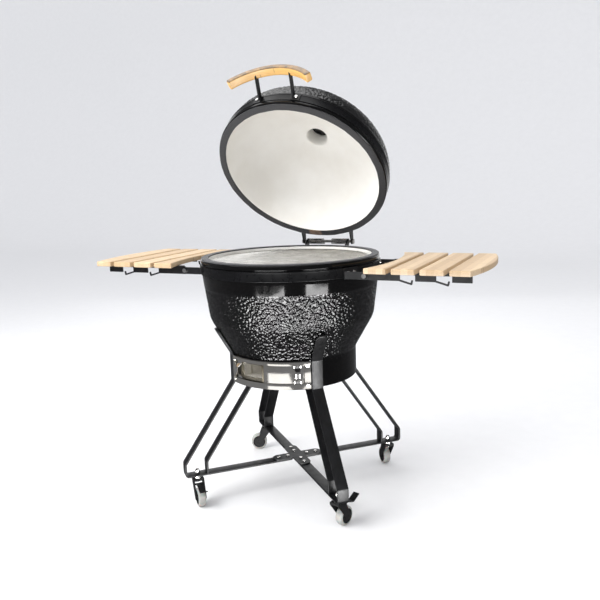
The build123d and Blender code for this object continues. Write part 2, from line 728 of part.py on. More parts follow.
# ---------------------------------------------------------------- casters, the wheel trailing to +X
def caster_stem():
    """The threaded stem with the upper bearing cup, and the head that keeps the fork on."""
    stem = rod((0, 0, CROWN_LOW_Z - FACE_GAP - STEM_HEAD_H), (0, 0, BRACE_TOP_Z + NUT_H / 2), STEM_R)
    stem += rod((0, 0, BRACE_LOW_Z - CUP_H), (0, 0, BRACE_LOW_Z), CUP_R)
    return stem + rod(
        (0, 0, CROWN_LOW_Z - FACE_GAP - STEM_HEAD_H), (0, 0, CROWN_LOW_Z - FACE_GAP), STEM_HEAD_R
    )


def stem_nut():
    """A dome nut on the stem above the brace."""
    nut = extrude(RegularPolygon(NUT_R, 6), NUT_H / 2)
    dome = rod((0, 0, NUT_H / 2), (0, 0, NUT_H), NUT_DOME_R)
    dome = fillet(dome.edges().group_by(Axis.Z)[-1], NUT_DOME_FILLET)
    return Pos(0, 0, BRACE_TOP_Z) * (nut + dome) - rod(
        (0, 0, BRACE_TOP_Z), (0, 0, BRACE_TOP_Z + NUT_H / 2), STEM_R
    )


def caster_fork(braked):
    """A crown on the stem, two cheeks down to the axle and a hood over the wheel."""
    inner_y = WHEEL_W / 2 + FORK_GAP
    crown = rod((0, 0, CROWN_LOW_Z), (0, 0, CROWN_LOW_Z + CROWN_T), CROWN_R)
    for y in (-inner_y - FORK_T, inner_y):
        outline = make_hull(
            (
                Pos(0, CROWN_LOW_Z + CROWN_T / 2) * Rectangle(2 * CROWN_R, CROWN_T)
                + Pos(TRAIL, WHEEL_R) * Circle(FORK_BOSS_R)
                + Pos(*BRAKE_PIVOT) * Circle(FORK_BOSS_R)
            ).edges()
        )
        crown += Pos(0, y + FORK_T, 0) * (Plane.XZ * extrude(outline, FORK_T))
    crown += box_between((-CROWN_R, CROWN_R), (-inner_y, inner_y), (CROWN_LOW_Z, CROWN_LOW_Z + CROWN_T))
    axle_ends = [(TRAIL, s * (inner_y + FORK_T), WHEEL_R) for s in (-1, 1)]
    crown -= rod(*axle_ends, AXLE_R)
    if braked:
        pin_ends = [(BRAKE_PIVOT[0], s * (inner_y + FORK_T), BRAKE_PIVOT[1]) for s in (-1, 1)]
        crown -= rod(*pin_ends, BRAKE_PIN_R + RUNNING_GAP)
    crown -= rod((0, 0, 0), (0, 0, BRACE_TOP_Z), STEM_R + RUNNING_GAP)
    axle_half = inner_y + FORK_T + AXLE_PROUD
    axle = rod((TRAIL, -axle_half, WHEEL_R), (TRAIL, axle_half, WHEEL_R), AXLE_R)
    return crown + axle


def about_axle(points):
    """A wheel part turned from (radius, offset) points about the axle."""
    section = Plane.XZ * make_face(Polyline(*points, close=True))
    return Pos(TRAIL, 0, WHEEL_R) * Rot(90, 0, 0) * revolve(section, Axis.Z)


def caster_wheel():
    """A dished disc with a hub, bored for the axle."""
    half = WHEEL_W / 2
    rim_r = WHEEL_R - TYRE_T
    bore = AXLE_R + RUNNING_GAP
    hub = half + FORK_GAP - SIDE_GAP
    web = half - WHEEL_DISH
    bead_r = rim_r - WHEEL_BEAD
    upper = [(rim_r, half), (bead_r, half), (bead_r, web), (HUB_R, web), (HUB_R, hub), (bore, hub)]
    return about_axle([(r, -y) for r, y in reversed(upper)] + upper)


def caster_tyre():
    half = WHEEL_W / 2
    rim_r = WHEEL_R - TYRE_T
    flank, shoulder = TREAD_ROUND
    upper = [(WHEEL_R, half - shoulder), (WHEEL_R - flank, half), (rim_r, half)]
    return about_axle([(r, -y) for r, y in reversed(upper)] + upper)


def brake_lever():
    """A pedal that lies over the wheel, with its own pivot pins."""
    x, z = BRAKE_PIVOT
    points = [(x, z)] + [(x + reach, z + rise) for reach, rise in BRAKE_BENDS]
    half = WHEEL_W / 2 + FORK_GAP + FORK_T
    return bent_strap(points, BRAKE_W, BRAKE_T, BRAKE_T) + rod((x, -half, z), (x, half, z), BRAKE_PIN_R)


def on_caster(shape, name):
    """Move a caster part, drawn at the origin, to the stem of its leg."""
    point, out = on_circle(STEM_AT_R, LEG_AZ[name], 0)
    return Pos(*point) * at_azimuth(shape, CASTER_AZ[name])


# ---------------------------------------------------------------- shelf, drawn on the +X side
def slats():
    """Boards side by side, cut to a hollow edge by the bowl and a bowed outer edge."""
    low = SLAT_TOP_Z - SLAT_T
    half = SHELF_HALF
    plan = make_face(
        Curve()
        + [
            ThreePointArc((SHELF_IN_X, half), (SHELF_MID_X, 0), (SHELF_IN_X, -half)),
            Line((SHELF_IN_X, -half), (SHELF_END_X, -half)),
            ThreePointArc((SHELF_END_X, -half), (SHELF_OUT_X, 0), (SHELF_END_X, half)),
            Line((SHELF_END_X, half), (SHELF_IN_X, half)),
        ]
    )
    board = Pos(0, 0, low) * extrude(plan, SLAT_T)
    for i in range(1, SLAT_COUNT):
        end = SHELF_IN_X + i * SLAT_PITCH
        board -= box_between((end - SLAT_PITCH + SLAT_W, end), (-2 * half, 2 * half), (low, SLAT_TOP_Z))
    board = fillet(board.edges(), SLAT_FILLET)
    for point, out in shelf_screw_points():
        board -= screw_hole(point, out, SCREW_SHANK + SCREW_FIT)
    return board.solids()


def shelf_screw_points():
    """Screw heads under the arm flanges, one for each board and arm."""
    z = SLAT_TOP_Z - SLAT_T - BRACKET_T
    y = BRACKET_Y - BRACKET_FLANGE / 2
    points = []
    for i in range(SLAT_COUNT):
        low = SHELF_IN_X + i * SLAT_PITCH
        x = (max(low, SHELF_MID_X) + min(low + SLAT_W, BRACKET_END_X)) / 2
        points += [((x, side * y, z), (0, 0, -1)) for side in (-1, 1)]
    return points


def tool_hook(x, low):
    """A hook in the plane of the web, leaving it beside a window and turned up at its tip."""
    root = (x - HOOK_W, low + HOOK_W / 2)
    elbow = (x + HOOK_REACH, low - HOOK_DROP + HOOK_W)
    tip = (elbow[0] + HOOK_FLARE, elbow[1] + HOOK_TIP)
    hook = None
    for start, end in ((root, elbow), (elbow, tip)):
        ends = Pos(*start) * Circle(HOOK_T / 2) + Pos(*end) * Circle(HOOK_T / 2)
        limb = make_hull(ends.edges())
        hook = limb if hook is None else hook + limb
    return hook


def shelf_arm():
    """An angle bar along X with open windows in its web and a tool hook beside each, front side."""
    top = SLAT_TOP_Z - SLAT_T
    low = top - BRACKET_H
    length = BRACKET_END_X - PIVOT_X
    outline = Pos(PIVOT_X + length / 2, top - BRACKET_H / 2) * Rectangle(length, BRACKET_H)
    outline += Pos(PIVOT_X, PIVOT_Z) * Circle(EYE_R)
    for x in WINDOW_X:
        outline -= Pos(x + WINDOW_W / 2, low + WINDOW_H / 2) * Rectangle(WINDOW_W, WINDOW_H)
        outline += tool_hook(x, low)
    outline -= Pos(PIVOT_X, PIVOT_Z) * Circle(PIVOT_R + RUNNING_GAP)
    arm = Pos(0, -BRACKET_Y + BRACKET_T, 0) * (Plane.XZ * extrude(outline, BRACKET_T))
    flange_y = (-BRACKET_Y, -BRACKET_Y + BRACKET_FLANGE)
    arm += box_between((PIVOT_X + FLANGE_START, BRACKET_END_X), flange_y, (top - BRACKET_T, top))
    for point, out in shelf_screw_points():
        arm -= screw_hole(point, out, SCREW_SHANK)
    return arm


def shelf_mount():
    """A curved foot on the band and an ear, beside the arm, that carries its pivot, front side."""
    face_r = BAND_R + BAND_T + SKIN_GAP
    low = BASE_BAND_MID_Z - BAND_H / 2
    foot = sector(face_r, face_r + MOUNT_T, low, low + BAND_H, MOUNT_AZ)
    ear_y = (-BRACKET_Y - ARM_GAP - MOUNT_T, -BRACKET_Y - ARM_GAP)
    start_x = sqrt(face_r ** 2 - ear_y[1] ** 2)
    ear = box_between((start_x, PIVOT_X), ear_y, (PIVOT_Z - MOUNT_H / 2, PIVOT_Z + MOUNT_H / 2))
    ear += rod((PIVOT_X, ear_y[0], PIVOT_Z), (PIVOT_X, ear_y[1], PIVOT_Z), MOUNT_H / 2)
    solid = foot + ear - rod((PIVOT_X, ear_y[0], PIVOT_Z), (PIVOT_X, ear_y[1], PIVOT_Z), PIVOT_R)
    solid -= Pos(0, 0, low) * Cylinder(face_r, 4 * BAND_H)
    for point, out in mount_screw_points():
        solid -= screw_hole(point, out, WALL)
    return solid


def mount_screw_points():
    face_r = BAND_R + BAND_T + SKIN_GAP + MOUNT_T
    return [on_circle(face_r, azimuth, BASE_BAND_MID_Z) for azimuth in MOUNT_SCREW_AZ]


def shelf_pivot():
    """A shouldered bolt through ear and arm, with its head outside and its nut inside."""
    head_y = -BRACKET_Y - ARM_GAP - MOUNT_T
    nut_y = -BRACKET_Y + BRACKET_T + ARM_GAP
    bolt = rod((PIVOT_X, head_y, PIVOT_Z), (PIVOT_X, nut_y, PIVOT_Z), PIVOT_R)
    bolt += rod((PIVOT_X, head_y - PIVOT_HEAD_H, PIVOT_Z), (PIVOT_X, head_y, PIVOT_Z), PIVOT_HEAD_R)
    return bolt + rod((PIVOT_X, nut_y, PIVOT_Z), (PIVOT_X, nut_y + PIVOT_HEAD_H, PIVOT_Z), PIVOT_HEAD_R)


def front_and_rear(shape):
    return [shape, mirror(shape, about=Plane.XZ)]


def on_side(shape, side):
    """Turn a piece of the right-hand shelf to a side; each shelf is its own mirror image, front to rear."""
    return Rot(0, 0, SIDE_TURN[side]) * shape


# ---------------------------------------------------------------- the assembly
def bowl_nodes():
    return {
        "base_bowl": base_bowl(),
        "base_gasket": gasket(RIM_Z),
        "fire_bowl": fire_bowl(),
        "fire_ring": fire_ring(),
        "charcoal_grate": charcoal_grate(),
        "cooking_grate": cooking_grate(),
        "base_band": band(BASE_BAND_MID_Z - BAND_H / 2),
        "draft_frame": draft_frame(),
        "draft_screws": [dome_screw(*spot) for spot in draft_screw_points()],
        "draft_door": draft_door(),
        "draft_door_pull": pull(DOOR_R + DOOR_T, PULL_AZ),
        "spark_screen": spark_screen(),
        "spark_screen_pull": pull(TRACK_IN_R + SCREEN_T, -PULL_AZ),
    }


def lid_nodes():
    """Everything that swings with the lid, drawn closed and then opened."""
    posts = [handle_post(side) for side in (-1, 1)]
    grip = grip_blank()
    for post in posts:
        grip -= post
    face_r = BAND_R + BAND_T + SKIN_GAP + POST_FOOT_T
    bolt_spots = [on_circle(face_r, side * POST_BOLT_AZ, LID_BAND_MID_Z) for side in (-1, 1)]
    bolts = [dome_screw(*spot, POST_FOOT_T) for spot in bolt_spots]
    low = LID_BAND_MID_Z - BAND_H / 2
    closed = {
        "lid_dome": lid_dome(),
        "lid_gasket": gasket(CLOSE_Z + SEAL_GAP),
        "lid_band": band(low),
        "handle_posts": posts,
        "handle_grip": grip,
        "handle_bolts": bolts,
        "hinge_lid_bracket": hinge_bracket(low, LID_EAR_X, RUNNING_GAP),
        "hinge_lid_screws": [dome_screw(*spot, HINGE_PLATE_T) for spot in hinge_screw_points(low)],
        "vent_collar": vent_collar(),
        "vent_disc": vent_disc(),
        "vent_knob": vent_knob(),
        "vent_pivot": vent_pivot(),
    }
    return {
        name: [opened(s) for s in shape] if isinstance(shape, list) else opened(shape)
        for name, shape in closed.items()
    }


def hinge_nodes():
    low = BASE_BAND_MID_Z - BAND_H / 2
    mount_screws = []
    for side in SIDE_TURN:
        for spot in mount_screw_points():
            for screw in front_and_rear(dome_screw(*spot, MOUNT_T)):
                mount_screws.append(on_side(screw, side))
    hinge_screws = [dome_screw(*spot, HINGE_PLATE_T) for spot in hinge_screw_points(low)]
    return {
        "hinge_base_bracket": hinge_bracket(low, BASE_EAR_X, 0),
        "hinge_pin": hinge_pin(),
        "hinge_springs": hinge_springs(),
        "base_band_screws": hinge_screws + mount_screws,
    }


def cart_nodes():
    nodes = {}
    for name, azimuth in LEG_AZ.items():
        nodes[f"leg_{name}"] = at_azimuth(leg(), azimuth)
    nodes["leg_struts"] = [at_azimuth(strut(), azimuth) for azimuth in LEG_AZ.values()]
    nodes["cross_plate"] = cross_plate()
    nodes["cross_bolts"] = [dome_screw(*spot, CROSS_T + STRAP_T) for spot in cross_bolt_points()]
    nodes["caster_stems"] = [on_caster(caster_stem(), name) for name in LEG_AZ]
    nodes["caster_nuts"] = [on_caster(stem_nut(), name) for name in LEG_AZ]
    for name in LEG_AZ:
        nodes[f"caster_fork_{name}"] = on_caster(caster_fork(name in BRAKED), name)
        nodes[f"caster_wheel_{name}"] = on_caster(caster_wheel(), name)
        nodes[f"caster_tyre_{name}"] = on_caster(caster_tyre(), name)
    for name in BRAKED:
        nodes[f"brake_lever_{name}"] = on_caster(brake_lever(), name)
    return nodes


def shelf_nodes():
    nodes = {}
    for side in SIDE_TURN:
        nodes[f"shelf_{side}_slats"] = [on_side(board, side) for board in slats()]
        nodes[f"shelf_{side}_arms"] = [on_side(arm, side) for arm in front_and_rear(shelf_arm())]
        screws = [dome_screw(*spot) for spot in shelf_screw_points()]
        nodes[f"shelf_{side}_screws"] = [on_side(screw, side) for screw in screws]
    for node, shape in {"shelf_mounts": shelf_mount(), "shelf_pivots": shelf_pivot()}.items():
        nodes[node] = [on_side(piece, side) for side in SIDE_TURN for piece in front_and_rear(shape)]
    return nodes


def write(name, shape):
    solids = [s for item in (shape if isinstance(shape, list) else [shape]) for s in item.solids()]
    export_step(solids[0] if len(solids) == 1 else Compound(children=solids), f"parts/{name}.step")


os.makedirs("parts", exist_ok=True)
for nodes in (bowl_nodes(), lid_nodes(), hinge_nodes(), cart_nodes(), shelf_nodes()):
    for name, shape in nodes.items():
        write(name, shape)
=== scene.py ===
import logging
import math
from collections.abc import Sequence
from dataclasses import dataclass, field
from enum import Enum

import bmesh
import bpy
import numpy as np
from mathutils import Matrix, Vector


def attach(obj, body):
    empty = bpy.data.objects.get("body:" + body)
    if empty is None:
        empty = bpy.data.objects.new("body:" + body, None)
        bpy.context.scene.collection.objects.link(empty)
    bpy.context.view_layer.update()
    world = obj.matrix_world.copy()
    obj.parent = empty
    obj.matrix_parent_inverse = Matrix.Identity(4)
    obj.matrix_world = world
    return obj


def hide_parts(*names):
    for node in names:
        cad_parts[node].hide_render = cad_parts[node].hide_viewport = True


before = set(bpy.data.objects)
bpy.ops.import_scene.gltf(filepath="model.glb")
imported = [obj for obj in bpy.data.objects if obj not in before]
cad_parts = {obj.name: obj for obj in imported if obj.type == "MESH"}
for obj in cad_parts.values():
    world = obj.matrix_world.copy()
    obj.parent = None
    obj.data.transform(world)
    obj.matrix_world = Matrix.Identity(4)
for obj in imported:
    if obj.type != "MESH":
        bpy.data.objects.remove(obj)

LOG = logging.getLogger("grill")
MM = 0.001
FULL_TURN = 360.0
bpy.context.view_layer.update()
OWN = "own"
JOINT_PATCH = "joint_patch"
Span = tuple[float, float]
Triple = tuple[float, float, float]


# ------------------------------------------------------------------ surfaces
@dataclass
class Patch:
    """A grid of points (rows, columns, 3) in millimetres, with optional values at each point.

    Args:
        points: the grid.
        close_rows: the last row joins the first.
        close_columns: the last column joins the first.
        cap: the first and last rows are filled with a flat face.
        slot: index of the finish its faces take.
        joint: how far each point belongs to a felt's glued joint, from 0 to 1.
        own: coordinates of the piece laid straight, for grain that follows it.
        keep: faces to keep, as an array of true and false by face row and column.
    """

    points: np.ndarray
    close_rows: bool = False
    close_columns: bool = True
    cap: bool = True
    slot: int | np.ndarray = 0
    joint: np.ndarray | None = None
    own: np.ndarray | None = None
    keep: np.ndarray | None = None

    def quads(self) -> np.ndarray:
        """Corner indices of the four-sided faces.

        Returns:
            Corner indices, four to a face.
        """
        rows, columns = self.points.shape[:2]
        i, j = np.meshgrid(
            np.arange(rows if self.close_rows else rows - 1),
            np.arange(columns if self.close_columns else columns - 1),
            indexing="ij",
        )
        below, beside = (i + 1) % rows, (j + 1) % columns
        found = np.stack(
            [i * columns + j, below * columns + j, below * columns + beside, i * columns + beside], -1
        )
        if self.keep is not None:
            return found[self.keep]
        return found.reshape(-1, 4)

    def slots(self) -> np.ndarray:
        """The finish index of each four-sided face.

        Returns:
            One index per face.
        """
        rows = self.points.shape[0] - (not self.close_rows)
        columns = self.points.shape[1] - (not self.close_columns)
        found = np.broadcast_to(self.slot, (rows, columns))
        return found[self.keep] if self.keep is not None else found.reshape(-1)


def turned_out(points: np.ndarray, quads: np.ndarray) -> np.ndarray:
    """Flip the faces of a closed grid whose enclosed volume comes out negative.

    The volume is the sum over faces of corner . (corner x corner) / 6 over each half of a face.

    Args:
        points: points in millimetres, x, y and z along the last axis.
        quads: corner indices of the four-sided faces.

    Returns:
        The faces, with their corners in the outward order.
    """
    centred = points - points.mean(0)
    a, b, c, d = (centred[quads[:, k]] for k in range(4))
    volume = np.einsum("ij,ij->", a, np.cross(b, c)) + np.einsum("ij,ij->", a, np.cross(c, d))
    return quads[:, ::-1] if volume < 0 else quads


def build_piece(
    name: str,
    patches: Sequence[Patch],
    finishes: Sequence[bpy.types.Material],
    body: str,
    replaces: Sequence[str] = (),
    weld: bool = False,
    sharp_deg: float = 38.0,
) -> bpy.types.Object:
    """Args:
        name: the piece's name.
        patches: its surfaces.
        finishes: materials, in the order of the patches' slot numbers.
        body: the CAD body it rides on.
        replaces: CAD nodes it stands for.
        weld: merge points that coincide, which closes poles and joins patches.
        sharp_deg: edges that turn by more stay crisp.

    Returns:
        The finished object, at the origin.
    """
    points, loops, starts, slots, start, loop_at = [], [], [], [], 0, 0
    own, joints = [], []
    for patch in patches:
        flat = patch.points.reshape(-1, 3)
        quads = patch.quads()
        oriented = turned_out(flat, quads)
        flipped = oriented is not quads and not np.array_equal(oriented, quads)
        loops.append((oriented + start).reshape(-1))
        starts.append(loop_at + 4 * np.arange(len(quads)))
        loop_at += 4 * len(quads)
        slots.append(patch.slots())
        if patch.cap and not patch.close_rows:
            rows, columns = patch.points.shape[:2]
            ring = np.arange(columns)
            for ends, backwards in ((ring, flipped), (ring + (rows - 1) * columns, not flipped)):
                loops.append((ends[::-1] if backwards else ends) + start)
                starts.append(np.array([loop_at]))
                loop_at += columns
                slots.append(np.array([int(np.min(patch.slot))]))
        points.append(flat)
        own.append(flat if patch.own is None else patch.own.reshape(-1, 3))
        joint = 0.0 if patch.joint is None else patch.joint
        joints.append(np.broadcast_to(joint, patch.points.shape[:2]).reshape(-1))
        start += len(flat)
    mesh = bpy.data.meshes.new(name)
    flat_points = np.concatenate(points) * MM
    flat_loops = np.concatenate(loops)
    mesh.vertices.add(len(flat_points))
    mesh.vertices.foreach_set("co", flat_points.astype(np.float32).reshape(-1))
    mesh.loops.add(len(flat_loops))
    mesh.loops.foreach_set("vertex_index", flat_loops.astype(np.int32))
    flat_starts = np.concatenate(starts)
    mesh.polygons.add(len(flat_starts))
    mesh.polygons.foreach_set("loop_start", flat_starts.astype(np.int32))
    mesh.update(calc_edges=True)
    mesh.polygons.foreach_set("material_index", np.concatenate(slots).astype(np.int32))
    layer = mesh.attributes.new(OWN, "FLOAT_VECTOR", "POINT")
    layer.data.foreach_set("vector", (np.concatenate(own) * MM).astype(np.float32).reshape(-1))
    glued = np.concatenate(joints).astype(np.float32)
    if glued.any():
        mesh.attributes.new(JOINT_PATCH, "FLOAT", "POINT").data.foreach_set("value", glued)
    if weld:
        work = bmesh.new()
        work.from_mesh(mesh)
        bmesh.ops.remove_doubles(work, verts=work.verts, dist=1e-6)
        bmesh.ops.dissolve_degenerate(work, edges=work.edges, dist=1e-7)
        bmesh.ops.recalc_face_normals(work, faces=work.faces)
        work.to_mesh(mesh)
        work.free()
    for finish in finishes:
        mesh.materials.append(finish)
    mesh.shade_smooth()
    mesh.set_sharp_from_angle(angle=math.radians(sharp_deg))
    mesh.validate()
    piece = bpy.data.objects.new(name, mesh)
    bpy.context.scene.collection.objects.link(piece)
    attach(piece, body)
    if replaces:
        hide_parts(*replaces)
    LOG.info("%s: %d faces on %s", name, len(mesh.polygons), body)
    return piece


def rounded(corners: Sequence[Triple], closed: bool = True, steps: int = 7) -> np.ndarray:
    """An outline whose corners are arcs.

    Each corner is (x, y, radius). The arc leaves the corner's two sides at radius x tan(half the
    turn) from it and is sampled evenly in angle.

    Args:
        corners: the sharp corners with their radii.
        closed: the last corner joins the first.
        steps: points on each arc.

    Returns:
        The outline's points, (count, 2).
    """
    spots = np.array([c[:2] for c in corners], float)
    out = []
    count = len(corners)
    for i, (x, y, radius) in enumerate(corners):
        here = spots[i]
        if radius <= 0 or (not closed and i in (0, count - 1)):
            out.append(here[None])
            continue
        into = here - spots[i - 1]
        away = spots[(i + 1) % count] - here
        into, away = into / np.linalg.norm(into), away / np.linalg.norm(away)
        turn = math.atan2(into[0] * away[1] - into[1] * away[0], into @ away)
        tangent = radius * math.tan(abs(turn) / 2)
        side = math.copysign(1, turn)
        centre = here - into * tangent + side * radius * np.array([-into[1], into[0]])
        spoke = here - into * tangent - centre
        angles = np.linspace(0, turn, steps)
        cos, sin = np.cos(angles), np.sin(angles)
        out.append(centre + np.stack([spoke[0] * cos - spoke[1] * sin, spoke[0] * sin + spoke[1] * cos], 1))
    return np.concatenate(out)


def bar_section(width: float, height: float, radius: float, steps: int = 5) -> np.ndarray:
    """A rounded rectangle centred on zero, (count, 2)."""
    w, h = width / 2, height / 2
    return rounded([(-w, -h, radius), (w, -h, radius), (w, h, radius), (-w, h, radius)], True, steps)


def spread(outline: np.ndarray, step: float, closed: bool = False) -> np.ndarray:
    """Add points so that no side of an outline is longer than a step; corners stay.

    Args:
        outline: the outline's points, two numbers each.
        step: longest side allowed.
        closed: the last point joins the first.

    Returns:
        The outline with the points added.
    """
    ends = np.roll(outline, -1, 0) if closed else outline[1:]
    starts = outline if closed else outline[:-1]
    parts = []
    for a, b in zip(starts, ends):
        cuts = max(1, math.ceil(float(np.linalg.norm(b - a)) / step))
        parts.append(a + (b - a) * np.linspace(0, 1, cuts, endpoint=False)[:, None])
    if not closed:
        parts.append(outline[-1:])
    return np.concatenate(parts)


def revolved(outline: np.ndarray, azimuths: np.ndarray) -> np.ndarray:
    """Points (r sin a, -r cos a, z) of a (radius, height) outline at each azimuth from the front.

    Args:
        outline: the outline's points, two numbers each.
        azimuths: degrees from the front.

    Returns:
        The grid of points, a row for each azimuth.
    """
    a = np.radians(azimuths)[:, None]
    r, z = outline[None, :, 0], outline[None, :, 1]
    return np.stack([r * np.sin(a), -r * np.cos(a), z + 0 * a], -1)


def turned_ring(outline: np.ndarray, count: int = 240, **facts: object) -> Patch:
    """A full ring of a closed outline."""
    azimuths = np.arange(count) * FULL_TURN / count
    return Patch(revolved(outline, azimuths), close_rows=True, **facts)


def swept(path: np.ndarray, section: np.ndarray, widths: np.ndarray | None = None) -> np.ndarray:
    """Carry a (width, thickness) section along an (x, z) path, its width along Y.

    A point is path + thickness x path normal, with width put along Y and scaled row by row.

    Args:
        path: points along the middle.
        section: the (width, thickness) outline carried along.
        widths: a factor on the width for each row.

    Returns:
        The grid of points, a row for each point of the path.
    """
    slope = np.gradient(path, axis=0)
    slope /= np.linalg.norm(slope, axis=1, keepdims=True)
    normal = np.stack([-slope[:, 1], slope[:, 0]], 1)
    scale = np.ones(len(path)) if widths is None else widths
    x = path[:, 0, None] + normal[:, 0, None] * section[None, :, 1]
    z = path[:, 1, None] + normal[:, 1, None] * section[None, :, 1]
    y = scale[:, None] * section[None, :, 0]
    return np.stack([x, y, z], -1)


def tube(path: np.ndarray, radius: float, sides: int = 8) -> np.ndarray:
    """A round tube along a 3-D path: path + radius (cos t . n + sin t . b).

    n is square to the path and to a fixed guide direction, b = path direction x n.

    Args:
        path: points along the middle.
        radius: radius in millimetres.
        sides: points round the tube.

    Returns:
        The grid of points, a row for each point of the path.
    """
    direction = np.gradient(path, axis=0)
    direction /= np.linalg.norm(direction, axis=1, keepdims=True)
    guide = np.array([0.0, 0.0, 1.0]) if abs(direction[:, 2]).max() < 0.9 else np.array([1.0, 0.0, 0.0])
    n = np.cross(direction, guide)
    n /= np.linalg.norm(n, axis=1, keepdims=True)
    b = np.cross(direction, n)
    t = np.arange(sides) * 2 * math.pi / sides
    return path[:, None] + radius * (
        np.cos(t)[None, :, None] * n[:, None] + np.sin(t)[None, :, None] * b[:, None]
    )


def turn_z(points: np.ndarray, degrees: float) -> np.ndarray:
    """Turn points about +Z through the origin.

    Args:
        points: points in millimetres, x, y and z along the last axis.
        degrees: angle of the turn.

    Returns:
        The turned points.
    """
    a = math.radians(degrees)
    x, y = points[..., 0], points[..., 1]
    return np.stack(
        [x * math.cos(a) - y * math.sin(a), x * math.sin(a) + y * math.cos(a), points[..., 2]], -1,
    )


def at_azimuth(points: np.ndarray, azimuth: float) -> np.ndarray:
    """Turn points drawn towards +X to an azimuth counted from the front."""
    return turn_z(points, azimuth - 90)


@dataclass(frozen=True)
class LidSwing:
    """The hinge line and how far the lid stands open."""

    y: float = 324.0
    z: float = 797.0
    degrees: float = 48.5

    def opened(self, points: np.ndarray) -> np.ndarray:
        """Swing points drawn on the closed lid back to the open stop.

        Args:
            points: points in millimetres, x, y and z along the last axis.

        Returns:
            The points on the open lid.
        """
        a = math.radians(-self.degrees)
        y, z = points[..., 1] - self.y, points[..., 2] - self.z
        return np.stack(
            [
                points[..., 0], self.y + y * math.cos(a) - z * math.sin(a),
                self.z + y * math.sin(a) + z * math.cos(a),
            ],
            -1,
        )


SWING = LidSwing()


@dataclass
class Pebbles:
    """Raised pebbles in the glaze: domes round scattered points, one in each cell of space.

    A dome's height is 1 - (d / reach) squared, where d is the distance to the nearest scattered
    point and reach is a share of the cell; the points of a cell come from sines of its place.
    """

    cell: float = 7.8
    reach: float = 0.66
    height: float = 2.3
    fade: float = 7.0

    def nearest(self, points: np.ndarray) -> np.ndarray:
        """Distance from each point to the nearest scattered point, in cells.

        Args:
            points: points in millimetres, x, y and z along the last axis.

        Returns:
            The distances.
        """
        place = points / self.cell
        home = np.floor(place)
        best = np.full(points.shape[:-1], 9.0)
        for step in np.ndindex(3, 3, 3):
            cell = home + (np.array(step) - 1)
            seeds = cell @ np.array([[127.1, 269.5, 419.2], [311.7, 183.3, 371.9], [74.7, 246.1, 129.3]])
            centre = cell + 0.5 + 0.42 * np.sin(43.7 * np.sin(seeds))
            best = np.minimum(best, np.linalg.norm(place - centre, axis=-1))
        return best

    def sink(self, outline: np.ndarray, azimuths: np.ndarray) -> np.ndarray:
        """Revolve an outline and sink it between the pebbles, fading out at both its ends.

        Args:
            outline: (radius, height) points, the outside of the wall on their right.
            azimuths: the azimuths of the rows.

        Returns:
            The points, whose pebble tops stand on the revolved outline.
        """
        points = revolved(outline, azimuths)
        along = np.gradient(outline, axis=0)
        along /= np.linalg.norm(along, axis=1, keepdims=True)
        run = np.concatenate([[0], np.cumsum(np.linalg.norm(np.diff(outline, axis=0), axis=1))])
        mask = np.clip(np.minimum(run, run[-1] - run) / self.fade, 0, 1)
        dome = np.clip(1 - (self.nearest(points) / self.reach) ** 2, 0, 1)
        depth = self.height * (1 - dome) * mask[None, :]
        a = np.radians(azimuths)[:, None]
        out, up = along[None, :, 1], -along[None, :, 0]
        normal = np.stack([np.sin(a) * out, -np.cos(a) * out, up + 0 * a], -1)
        return points - depth[..., None] * normal


# ------------------------------------------------------------------ finishes
class Coordinates(Enum):
    """Where a finish takes its coordinates from."""

    OBJECT = "object"
    OWN = "own"


